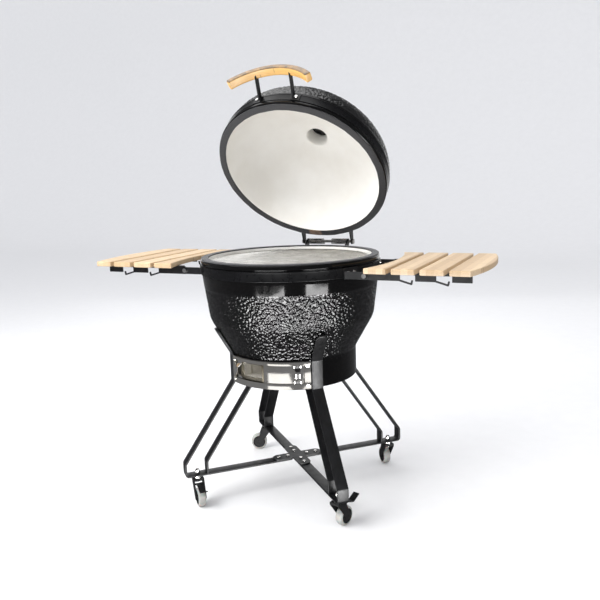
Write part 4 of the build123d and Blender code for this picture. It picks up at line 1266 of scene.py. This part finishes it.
# ------------------------------------------------------------------ draft door
@dataclass
class DraftDoor:
    """The curved bezel, the sliding door, the mesh screen and their bow pulls."""

    frame_az: float = 39.0
    flange_az: float = 5.0
    frame_z: Span = (396.0, 482.0)
    back_r: float = 206.1
    sheet: float = 1.5
    door_z: Span = (411.0, 475.0)
    lap: float = 4.0
    door_az: Span = (-0.5, 33.0)
    screen_az: Span = (-33.2, -1.0)
    screen_r: float = 208.4
    screen_t: float = 1.0
    door_r: float = 210.2
    rail_r: float = 212.5
    gap: float = 0.8
    port_az: Span = (-23.0, -2.0)
    port_z: Span = (427.0, 467.0)
    pull_az: float = 28.2
    pull_w: float = 24.0
    pull_waist: float = 14.0
    pull_half: float = 27.0
    pull_depth: float = 15.0
    pull_t: float = 2.0
    pull_foot: float = 7.0
    border: float = 6.0
    snug: float = 0.2
    wire_pitch: float = 2.6
    wire_r: float = 0.36

    def arc(self, r: Span, z: Span, az: Span, edge: float = 0.5) -> Patch:
        """A curved strip: a rounded rectangle of radius and height carried between two azimuths."""
        section = rounded(
            [(r[0], z[0], edge), (r[1], z[0], edge), (r[1], z[1], edge), (r[0], z[1], edge)], True, 3,
        )
        return Patch(revolved(section, np.linspace(az[0], az[1], max(2, round((az[1] - az[0]) / 1.2)))))

    def window(self, r: Span, az: Span, z: Span, hole_az: Span, hole_z: Span) -> list[Patch]:
        """A curved sheet with a window, as four strips round it that meet edge to edge.

        Args:
            r: inner and outer radius.
            az: first and last azimuth.
            z: lower and upper height.
            hole_az: the window's first and last azimuth.
            hole_z: the window's lower and upper height.

        Returns:
            The four strips.
        """
        return [
            self.arc(r, (z[0], hole_z[0]), az), self.arc(r, (hole_z[1], z[1]), az),
            self.arc(
                r, hole_z, (az[0], hole_az[0]), self.snug,
            ), self.arc(r, hole_z, (hole_az[1], az[1]), self.snug),
        ]

    def bezel(self) -> list[Patch]:
        """Back sheet, two track ledges, and the front lips and end flanges.

        Returns:
            Its strips.
        """
        side = (-self.frame_az, self.frame_az)
        inner = self.frame_az - self.flange_az
        front = (self.rail_r, self.rail_r + self.sheet)
        back = (self.back_r, self.back_r + self.sheet)
        patches = self.window(back, side, self.frame_z, self.port_az, self.port_z)
        patches += self.window(
            front, side, self.frame_z, (-inner, inner), (self.door_z[0] + self.lap, self.door_z[1] - self.lap)
        )
        for z in (self.door_z[0] - self.gap - self.sheet, self.door_z[1] + self.gap):
            patches.append(self.arc((back[1], front[0]), (z, z + self.sheet), side, self.snug))
        for az in ((-self.frame_az, -inner), (inner, self.frame_az)):
            patches.append(self.arc((back[1], front[0]), self.frame_z, az, self.snug))
        return patches

    def bow(self, face_r: float, azimuth: float) -> Patch:
        """A bow pull: strip bent along its path, its half width growing from the waist along a circle.

        Args:
            face_r: radius of the sheet that it stands on.
            azimuth: degrees from the front.

        Returns:
            The pull.
        """
        middle = sum(self.door_z) / 2
        foot, reach, half = face_r + self.pull_t / 2, face_r + self.pull_depth, self.pull_half
        path = rounded([
            (foot, middle - half, 0), (
                foot, middle - half + self.pull_foot, 4,
            ), (reach, middle - half / 3, 7),
            (reach, middle + half / 3, 7), (
                foot, middle + half - self.pull_foot, 4,
            ), (foot, middle + half, 0),
        ], closed=False, steps=8)
        path = spread(path, 1.6)
        narrow = self.pull_w - self.pull_waist
        circle_r = (half ** 2 + (narrow / 2) ** 2) / narrow
        width = self.pull_waist / 2 + circle_r - np.sqrt(circle_r ** 2 - (path[:, 1] - middle) ** 2)
        bow = swept(path, bar_section(2.0, self.pull_t, 0.5, 3), width)
        return Patch(at_azimuth(bow, azimuth))

    def mesh_screen(self) -> list[Patch]:
        """A border of sheet round a weave: wires up at even azimuths and hoops at even heights.

        Each wire swings in and out by its own radius, the wires of one direction out of step.

        Returns:
            Border, uprights and hoops.
        """
        az, z = self.screen_az, self.door_z
        edge_deg = math.degrees(self.border / self.screen_r)
        inner_az = (az[0] + 11 * edge_deg / 3, az[1] - edge_deg)
        inner_z = (z[0] + self.border, z[1] - self.border)
        patches = self.window((self.screen_r, self.screen_r + self.screen_t), az, z, inner_az, inner_z)
        middle_r = self.screen_r + self.screen_t / 2
        step = math.degrees(self.wire_pitch / middle_r)
        uprights = np.arange(inner_az[0], inner_az[1], step)
        hoops = np.arange(inner_z[0] + self.wire_pitch / 2, inner_z[1], self.wire_pitch)
        rows = np.arange(inner_z[0], inner_z[1] + 0.1, self.wire_pitch / 2)
        for i, a in enumerate(uprights):
            r = middle_r + self.wire_r * np.cos(math.pi * (rows - rows[0]) / self.wire_pitch + math.pi * i)
            t = math.radians(a)
            patches.append(
                Patch(tube(np.stack([r * math.sin(t), -r * math.cos(t), rows], 1), self.wire_r, 4))
            )
        across = np.radians(np.arange(inner_az[0], inner_az[1] + 0.01, step / 2))
        for j, height in enumerate(hoops):
            r = middle_r - self.wire_r * np.cos(
                math.pi * (across - across[0]) / math.radians(step) + math.pi * j
            )
            path = np.stack([r * np.sin(across), -r * np.cos(across), np.full(len(across), height)], 1)
            patches.append(Patch(tube(path, self.wire_r, 4)))
        return patches

    def build(self, finishes: Finishes) -> None:
        """Build bezel, door, screen and pulls.

        Args:
            finishes: the materials, by name.
        """
        steel, bright = finishes["polished_steel"], finishes["bright_hardware"]
        build_piece("draft_bezel", self.bezel(), [steel], "base", ["draft_frame"])
        door = self.arc((self.door_r, self.door_r + self.sheet), self.door_z, self.door_az)
        build_piece("door_sheet", [door], [steel], "draft_door", ["draft_door"])
        build_piece(
            "screen_mesh", self.mesh_screen(), [finishes["shaded_mesh_steel"]], "spark_screen", ["spark_screen"],
        )
        build_piece(
            "door_bow", [self.bow(self.door_r + self.sheet, self.pull_az)], [bright], "draft_door",
            ["draft_door_pull"],
        )
        build_piece(
            "screen_bow", [self.bow(self.screen_r + self.screen_t, -self.pull_az)], [bright], "spark_screen",
            ["spark_screen_pull"],
        )


# ------------------------------------------------------------------ cart
LEG_AZ = {"front_right": 45.0, "front_left": -45.0, "rear_right": 135.0, "rear_left": -135.0}
CASTER_AZ = {"front_right": 165.0, "front_left": 45.0, "rear_right": 220.0, "rear_left": -64.0}


@dataclass
class Cart:
    """Bent flat bars: a leg and a strut at each quarter."""

    width: float = 36.0
    thick: float = 6.0
    edge: float = 1.6
    bend: float = 9.0
    tongue_r: float = 17.0

    def strap(self, corners: list[Span], tongue: bool) -> np.ndarray:
        """A flat bar along (x, z) corners; a tongue's half width follows a circle at its first end.

        Args:
            corners: the corners of the bar's middle line.
            tongue: its first end is rounded in plan.

        Returns:
            The bar's grid of points.
        """
        path = rounded(
            [(*c, 0 if i in (0, len(corners) - 1) else self.bend) for i, c in enumerate(corners)], False, 7,
        )
        path = spread(path, 16.0)
        widths = None
        if tongue:
            fine = np.radians(np.linspace(4, 90, 9))
            start, along = path[0], path[1] - path[0]
            along /= np.linalg.norm(along)
            steps = self.tongue_r * (1 - np.cos(fine))
            head = start + along * steps[:, None]
            rest = path[(np.linalg.norm(path - start, axis=1) > self.tongue_r + 1)]
            path = np.concatenate([head, rest])
            half = self.width / 2
            widths = np.concatenate(
                [(half - self.tongue_r + self.tongue_r * np.sin(fine)) / half, np.ones(len(rest))]
            )
        return swept(path, bar_section(self.width, self.thick, self.edge, 4), widths)

    def build(self, finishes: Finishes) -> None:
        """Build four legs and four struts.

        Args:
            finishes: the materials, by name.
        """
        steel = finishes["black_steel"]
        leg = self.strap(
            [(259.1, 569.8), (209.5, 482.1), (209.5, 392.0), (383.0, 138.0), (383.0, 96.0), (24.0, 96.0)],
            True,
        )
        strut = self.strap([(100.0, 392.0), (139.5, 392.0), (313.0, 138.0), (313.0, 99.0)], False)
        for name, azimuth in LEG_AZ.items():
            build_piece(
                f"leg_strap_{name}", [Patch(at_azimuth(leg, azimuth))], [steel], "base", [f"leg_{name}"],
            )
        struts = [Patch(at_azimuth(strut, azimuth)) for azimuth in LEG_AZ.values()]
        build_piece("strut_straps", struts, [steel], "base", ["leg_struts"])


@dataclass
class Casters:
    """Wheel discs and tyres of the four swivel casters; the wheel trails to +X."""

    stem_r: float = 344.0
    trail: float = 30.0
    wheel_r: float = 30.0
    half: float = 12.0
    rim_r: float = 23.0
    bore_r: float = 4.05
    hub_r: float = 9.0
    hub_half: float = 13.5
    dish: float = 3.0

    def about_axle(self, outline: np.ndarray, count: int = 72) -> np.ndarray:
        """Points (trail + r cos t, offset, wheel radius + r sin t) of a (radius, offset) outline.

        Args:
            outline: the outline's points, two numbers each.
            count: how many points or rows.

        Returns:
            The grid of points.
        """
        t = (np.arange(count) * 2 * math.pi / count)[:, None]
        r, y = outline[None, :, 0], outline[None, :, 1]
        return np.stack([self.trail + r * np.cos(t), y + 0 * t, self.wheel_r + r * np.sin(t)], -1)

    def on_leg(self, points: np.ndarray, name: str) -> np.ndarray:
        """Move a caster piece drawn at the origin to its leg's stem, pointing its own way.

        Args:
            points: points in millimetres, x, y and z along the last axis.
            name: its name.

        Returns:
            The points in place.
        """
        a = math.radians(LEG_AZ[name])
        stem = np.array([self.stem_r * math.sin(a), -self.stem_r * math.cos(a), 0])
        return at_azimuth(points, CASTER_AZ[name]) + stem

    def disc(self) -> np.ndarray:
        """The wheel's disc: hub, dished web and bead, mirrored about its middle.

        Returns:
            The grid of points.
        """
        web = self.half - self.dish
        upper = [
            (self.bore_r, self.hub_half, 0.5), (self.hub_r, self.hub_half, 1.2), (self.hub_r, web, 1.5),
            (self.rim_r - 3, web, 1.0), (self.rim_r - 2, self.half, 0.8), (self.rim_r, self.half, 0),
        ]
        lower = [(r, -y, q) for r, y, q in reversed(upper)]
        return self.about_axle(rounded(upper + lower, True, 4))

    def tread(self) -> np.ndarray:
        """The tyre: flat tread with well rounded shoulders and a fine step at the rim.

        Returns:
            The grid of points.
        """
        r, h = self.wheel_r, self.half
        return self.about_axle(rounded([
            (self.rim_r, -h, 0), (self.rim_r + 1.5, -h, 0.8), (r, -h + 1, 5.5), (r, h - 1, 5.5),
            (self.rim_r + 1.5, h, 0.8), (self.rim_r, h, 0),
        ], True, 6))

    def build(self, finishes: Finishes) -> None:
        """Build the wheels and tyres.

        Args:
            finishes: the materials, by name.
        """
        for name in LEG_AZ:
            body = f"wheel_{name}"
            disc = Patch(self.on_leg(self.disc(), name), close_rows=True)
            tread = Patch(self.on_leg(self.tread(), name), close_rows=True)
            build_piece(
                f"disc_{name}", [disc], [finishes["black_plastic"]], body, [f"caster_wheel_{name}"],
            )
            build_piece(
                f"tread_{name}", [tread], [finishes["grey_tread"]], body, [f"caster_tyre_{name}"],
            )


# ------------------------------------------------------------------ shelves
@dataclass
class Shelf:
    """Four bamboo boards, the inner one hollowed for the bowl and the outer one bowed."""

    inner_x: float = 320.0
    hollow_x: float = 353.0
    end_x: float = 618.0
    bowed_x: float = 646.0
    half: float = 206.0
    pitch: float = 80.4
    width: float = 66.5
    top_z: float = 775.0
    thick: float = 16.0
    edge: float = 3.0

    def arc_x(self, side_x: float, middle_x: float, y: np.ndarray) -> np.ndarray:
        """The x of a circle through (side_x, +-half) and (middle_x, 0): centre + sqrt(R^2 - y^2).

        Args:
            side_x: x at the sides.
            middle_x: x in the middle.
            y: y of each point.

        Returns:
            The x of each point.
        """
        sag = middle_x - side_x
        radius = (self.half ** 2 + sag ** 2) / (2 * sag)
        return middle_x - radius + np.sqrt(radius ** 2 - y ** 2)

    def board(self, index: int) -> Patch:
        """One board: a rounded section set between its two long edges, row by row along Y.

        Args:
            index: 0 for the board next to the bowl, up to 3.

        Returns:
            The board.
        """
        over = np.radians(np.linspace(0, 90, 5))
        near = self.half - self.edge * (1 - np.cos(over))
        y = np.concatenate([-near, np.linspace(-self.half, self.half, 40)[2:-2], near[::-1]])
        shrink = np.concatenate(
            [self.edge * (1 - np.sin(over)), np.zeros(36), self.edge * (1 - np.sin(over[::-1]))]
        )
        low = self.inner_x + index * self.pitch
        left = self.arc_x(self.inner_x, self.hollow_x, y) if index == 0 else np.full_like(y, low)
        right = self.arc_x(self.end_x, self.bowed_x, y) if index == 3 else np.full_like(y, low + self.width)
        corner = rounded(
            [(0, 0, self.edge), (1000, 0, 0), (1000, self.thick, 0), (0, self.thick, self.edge)], True, 5,
        )
        edge = corner[corner[:, 0] < 900]
        order = np.argsort(np.arctan2(edge[:, 1] - self.thick / 2, -(edge[:, 0] - 50)))
        inset, rise = edge[order, 0], edge[order, 1]
        cuts = np.linspace(0.1, 0.9, 6)
        x_left = left[:, None] + inset[None] + shrink[:, None]
        x_right = right[:, None] - inset[None, ::-1] - shrink[:, None]
        rise_in = shrink[:, None] + (self.thick - 2 * shrink[:, None]) * (rise[None] / self.thick)
        top = left[:, None] + (right - left)[:, None] * cuts[None]
        high, lowest = (self.thick - shrink)[:, None], shrink[:, None]
        x = np.concatenate([x_left, top, x_right, top[:, ::-1]], 1)
        z = np.concatenate(
            [rise_in, high * np.ones_like(cuts), rise_in[:, ::-1], lowest * np.ones_like(cuts)], 1,
        )
        points = np.stack([x, y[:, None] + 0 * x, z + self.top_z - self.thick], -1)
        own = np.stack([points[..., 1] + 531 * (index + 1), points[..., 0] + 97 * index, points[..., 2]], -1)
        return Patch(points, own=own)

    def build(self, finishes: Finishes) -> None:
        """Build both shelves; the left one is the right one turned half round.

        Args:
            finishes: the materials, by name.
        """
        for side, turn in (("right", 0), ("left", 180)):
            boards = [self.board(i) for i in range(4)]
            for board in boards:
                board.points = turn_z(board.points, turn)
                board.own = board.own + turn * np.array([3.1, 0.7, 0.0])
            build_piece(
                f"boards_{side}", boards, [finishes["bamboo"]], f"shelf_{side}", [f"shelf_{side}_slats"],
            )


# ------------------------------------------------------------------ carried-over pieces, light and camera
CAD_FINISHES = {
    "cream_ceramic": ["fire_bowl", "fire_ring"],
    "black_steel": [
        "handle_posts", "hinge_lid_bracket", "hinge_base_bracket", "cross_plate", "shelf_mounts",
        "shelf_right_arms", "shelf_left_arms",
    ],
    "brushed_steel": ["hinge_pin"],
    "bright_hardware": [
        "draft_screws", "handle_bolts", "hinge_lid_screws", "base_band_screws", "cross_bolts", "caster_stems",
        "caster_nuts", "shelf_right_screws", "shelf_left_screws", "shelf_pivots",
    ],
    "cast_iron": ["charcoal_grate", "vent_collar", "vent_disc", "vent_knob", "vent_pivot"],
    "black_plastic": [
        *(f"caster_fork_{name}" for name in LEG_AZ), "brake_lever_front_right", "brake_lever_front_left",
    ],
}


def dress_cad_nodes(finishes: Finishes) -> None:
    """Give each CAD node that stays its finish.

    Args:
        finishes: the materials, by name.
    """
    for name, nodes in CAD_FINISHES.items():
        for node in nodes:
            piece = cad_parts[node]
            piece.data.materials.clear()
            piece.data.materials.append(finishes[name])
            LOG.info("%s: carried over in %s", node, name)


class Shows(Enum):
    """What a lamp does: it lights surfaces, is mirrored in gloss, or both."""

    LIGHT = (True, False)
    MIRROR = (False, True)
    BOTH = (True, True)


@dataclass
class Studio:
    """A pale floor, soft lights and the camera; in metres."""

    eye: Triple = (0.96838, -2.02423, 1.03338)
    yaw: float = 0.4342
    pitch: float = 0.1758
    roll: float = -0.0335
    lens_mm: float = 41.815
    sensor_mm: float = 36.0
    floor_half: float = 14.0
    polished: tuple[str, ...] = ("polished_steel", "bright_hardware")
    glaze_radiance: float = 24
    steel_radiance: float = 1.15

    def soft_box(
        self, name: str, at: Triple, aim: Triple,
        size: Span, radiance: float, shows: Shows,
        only: bpy.types.Collection | None = None,
    ) -> None:
        """A rectangular lamp that is never seen itself.

        Args:
            name: its name.
            at: its middle.
            aim: the point that it faces.
            size: width and height.
            radiance: its brightness, from which its power is pi times area times brightness.
            shows: whether it lights surfaces, is mirrored in them, or both.
            only: the pieces that it reaches, where it doesn't reach all.
        """
        lamp = bpy.data.lights.new(name, "AREA")
        lamp.shape, lamp.size, lamp.size_y = "RECTANGLE", size[0], size[1]
        lamp.energy = math.pi * size[0] * size[1] * radiance
        holder = bpy.data.objects.new(name, lamp)
        holder.location = at
        holder.rotation_euler = (Vector(aim) - Vector(at)).to_track_quat("-Z", "Y").to_euler()
        holder.visible_camera = False
        holder.visible_diffuse, holder.visible_glossy = shows.value
        if only is not None:
            holder.light_linking.receiver_collection = only
        bpy.context.scene.collection.objects.link(holder)

    def gathered(self, name: str, polished: bool) -> bpy.types.Collection:
        """The pieces with a polished finish, or all the others, as a group for a lamp.

        Args:
            name: its name.
            polished: gather the polished pieces rather than the others.

        Returns:
            The group.
        """
        group = bpy.data.collections.new(name)
        for piece in [o for o in bpy.context.scene.objects if o.type in {"MESH", "CURVE"}]:
            finish = piece.material_slots[0].name if piece.material_slots else ""
            if (finish in self.polished) == polished:
                group.objects.link(piece)
        return group

    def floor(self) -> None:
        """A pale matte floor that curves up far behind, as a sheet of paper does."""
        depth = np.concatenate(
            [np.linspace(-self.floor_half, 6, 12), 6 + 4 * np.sin(np.radians(np.arange(6, 91, 6))), [10.0]]
        )
        rise = np.concatenate([np.zeros(12), 4 - 4 * np.cos(np.radians(np.arange(6, 91, 6))), [14.0]])
        x = np.linspace(-self.floor_half, self.floor_half, 3)
        grid = np.stack(
            [
                np.broadcast_to(x[None], (len(depth), 3)), np.repeat(depth[:, None], 3, 1),
                np.repeat(rise[:, None], 3, 1),
            ],
            -1,
        )
        quads = Patch(grid, close_columns=False).quads()
        mesh = bpy.data.meshes.new("floor")
        mesh.from_pydata(grid.reshape(-1, 3).tolist(), [], quads[:, ::-1].tolist())
        mesh.shade_smooth()
        paper = PlainFinish("paper", (0.82, 0.82, 0.82), (0.84, 0.84, 0.84), (0.85, 0.95), grit_mm=0.01)
        mesh.materials.append(paper.material())
        sheet = bpy.data.objects.new("floor", mesh)
        sheet.visible_glossy = False
        sheet.visible_shadow = False
        bpy.context.scene.collection.objects.link(sheet)

    def sky(self) -> None:
        """Even white light, dimmer where gloss mirrors it, as in a studio with dark walls."""
        world = bpy.data.worlds.new("studio")
        bpy.context.scene.world = world
        world.use_nodes = True
        tree = world.node_tree
        back = tree.nodes["Background"]
        path = tree.nodes.new("ShaderNodeLightPath")
        dim = tree.nodes.new("ShaderNodeMapRange")
        dim.inputs[3].default_value, dim.inputs[4].default_value = 1.0, 0.2
        tree.links.new(path.outputs["Is Glossy Ray"], dim.inputs[0])
        tree.links.new(dim.outputs[0], back.inputs["Strength"])
        back.inputs["Color"].default_value = (0.95, 0.96, 1.0, 1.0)

    def camera(self) -> None:
        """The camera, from its eye point and its yaw, pitch and roll."""
        forward = Vector(
            (
                -math.sin(self.yaw) * math.cos(self.pitch), math.cos(self.yaw) * math.cos(self.pitch),
                -math.sin(self.pitch),
            )
        )
        level = Vector((math.cos(self.yaw), math.sin(self.yaw), 0))
        up = level.cross(forward)
        right = math.cos(self.roll) * level + math.sin(self.roll) * up
        top = -math.sin(self.roll) * level + math.cos(self.roll) * up
        turn = Matrix((right, top, -forward)).transposed().to_4x4()
        lens = bpy.data.cameras.new("camera")
        lens.lens, lens.sensor_width, lens.sensor_fit = self.lens_mm, self.sensor_mm, "HORIZONTAL"
        lens.clip_end = 100
        holder = bpy.data.objects.new("camera", lens)
        holder.matrix_world = Matrix.Translation(self.eye) @ turn
        bpy.context.scene.collection.objects.link(holder)
        bpy.context.scene.camera = holder

    def build(self) -> None:
        """Set up the whole studio."""
        bpy.context.scene.view_settings.view_transform = "Standard"
        self.floor()
        self.sky()
        self.soft_box("key", (-1.6, -2.2, 2.8), (0, 0, 0.7), (1.6, 1.6), 5.5, Shows.LIGHT)
        self.soft_box("top", (-0.7, 0.2, 3.2), (0, 0, 0.8), (2.8, 2.4), 2.2, Shows.BOTH)
        self.soft_box("fill", (-1.5, -2.0, 1.0), (0, 0.1, 1.0), (1.4, 1.0), 4.4, Shows.LIGHT)
        for name, radiance, is_steel in (
            ("glazed", self.glaze_radiance, False), ("polished", self.steel_radiance, True),
        ):
            group = self.gathered(name, is_steel)
            self.soft_box(
                f"left_{name}", (
                    0.01, -1.36, -0.136,
                ), (0.05, -0.28, 0.60), (0.94, 0.64), radiance, Shows.MIRROR, group,
            )
            self.soft_box(
                f"right_{name}", (
                    1.23, -0.83, -0.136,
                ), (0.18, -0.22, 0.60), (0.78, 0.64), radiance, Shows.MIRROR, group,
            )
        self.soft_box("back_wall", (-1.0, 3.4, 1.3), (0, 0, 0.8), (5.0, 2.4), 1.0, Shows.MIRROR)
        self.camera()


def main() -> None:
    """Build and dress every piece, then the studio."""
    logging.basicConfig(level=logging.INFO, format="%(name)s: %(message)s")
    finishes = Finishes()
    for maker in (
        CeramicBowl(), CeramicLid(), RimRings(), Handle(), HingeSprings(), CookingGrate(), DraftDoor(),
        Cart(), Casters(), Shelf(),
    ):
        maker.build(finishes)
    dress_cad_nodes(finishes)
    Studio().build()


if __name__ == "__main__":
    main()
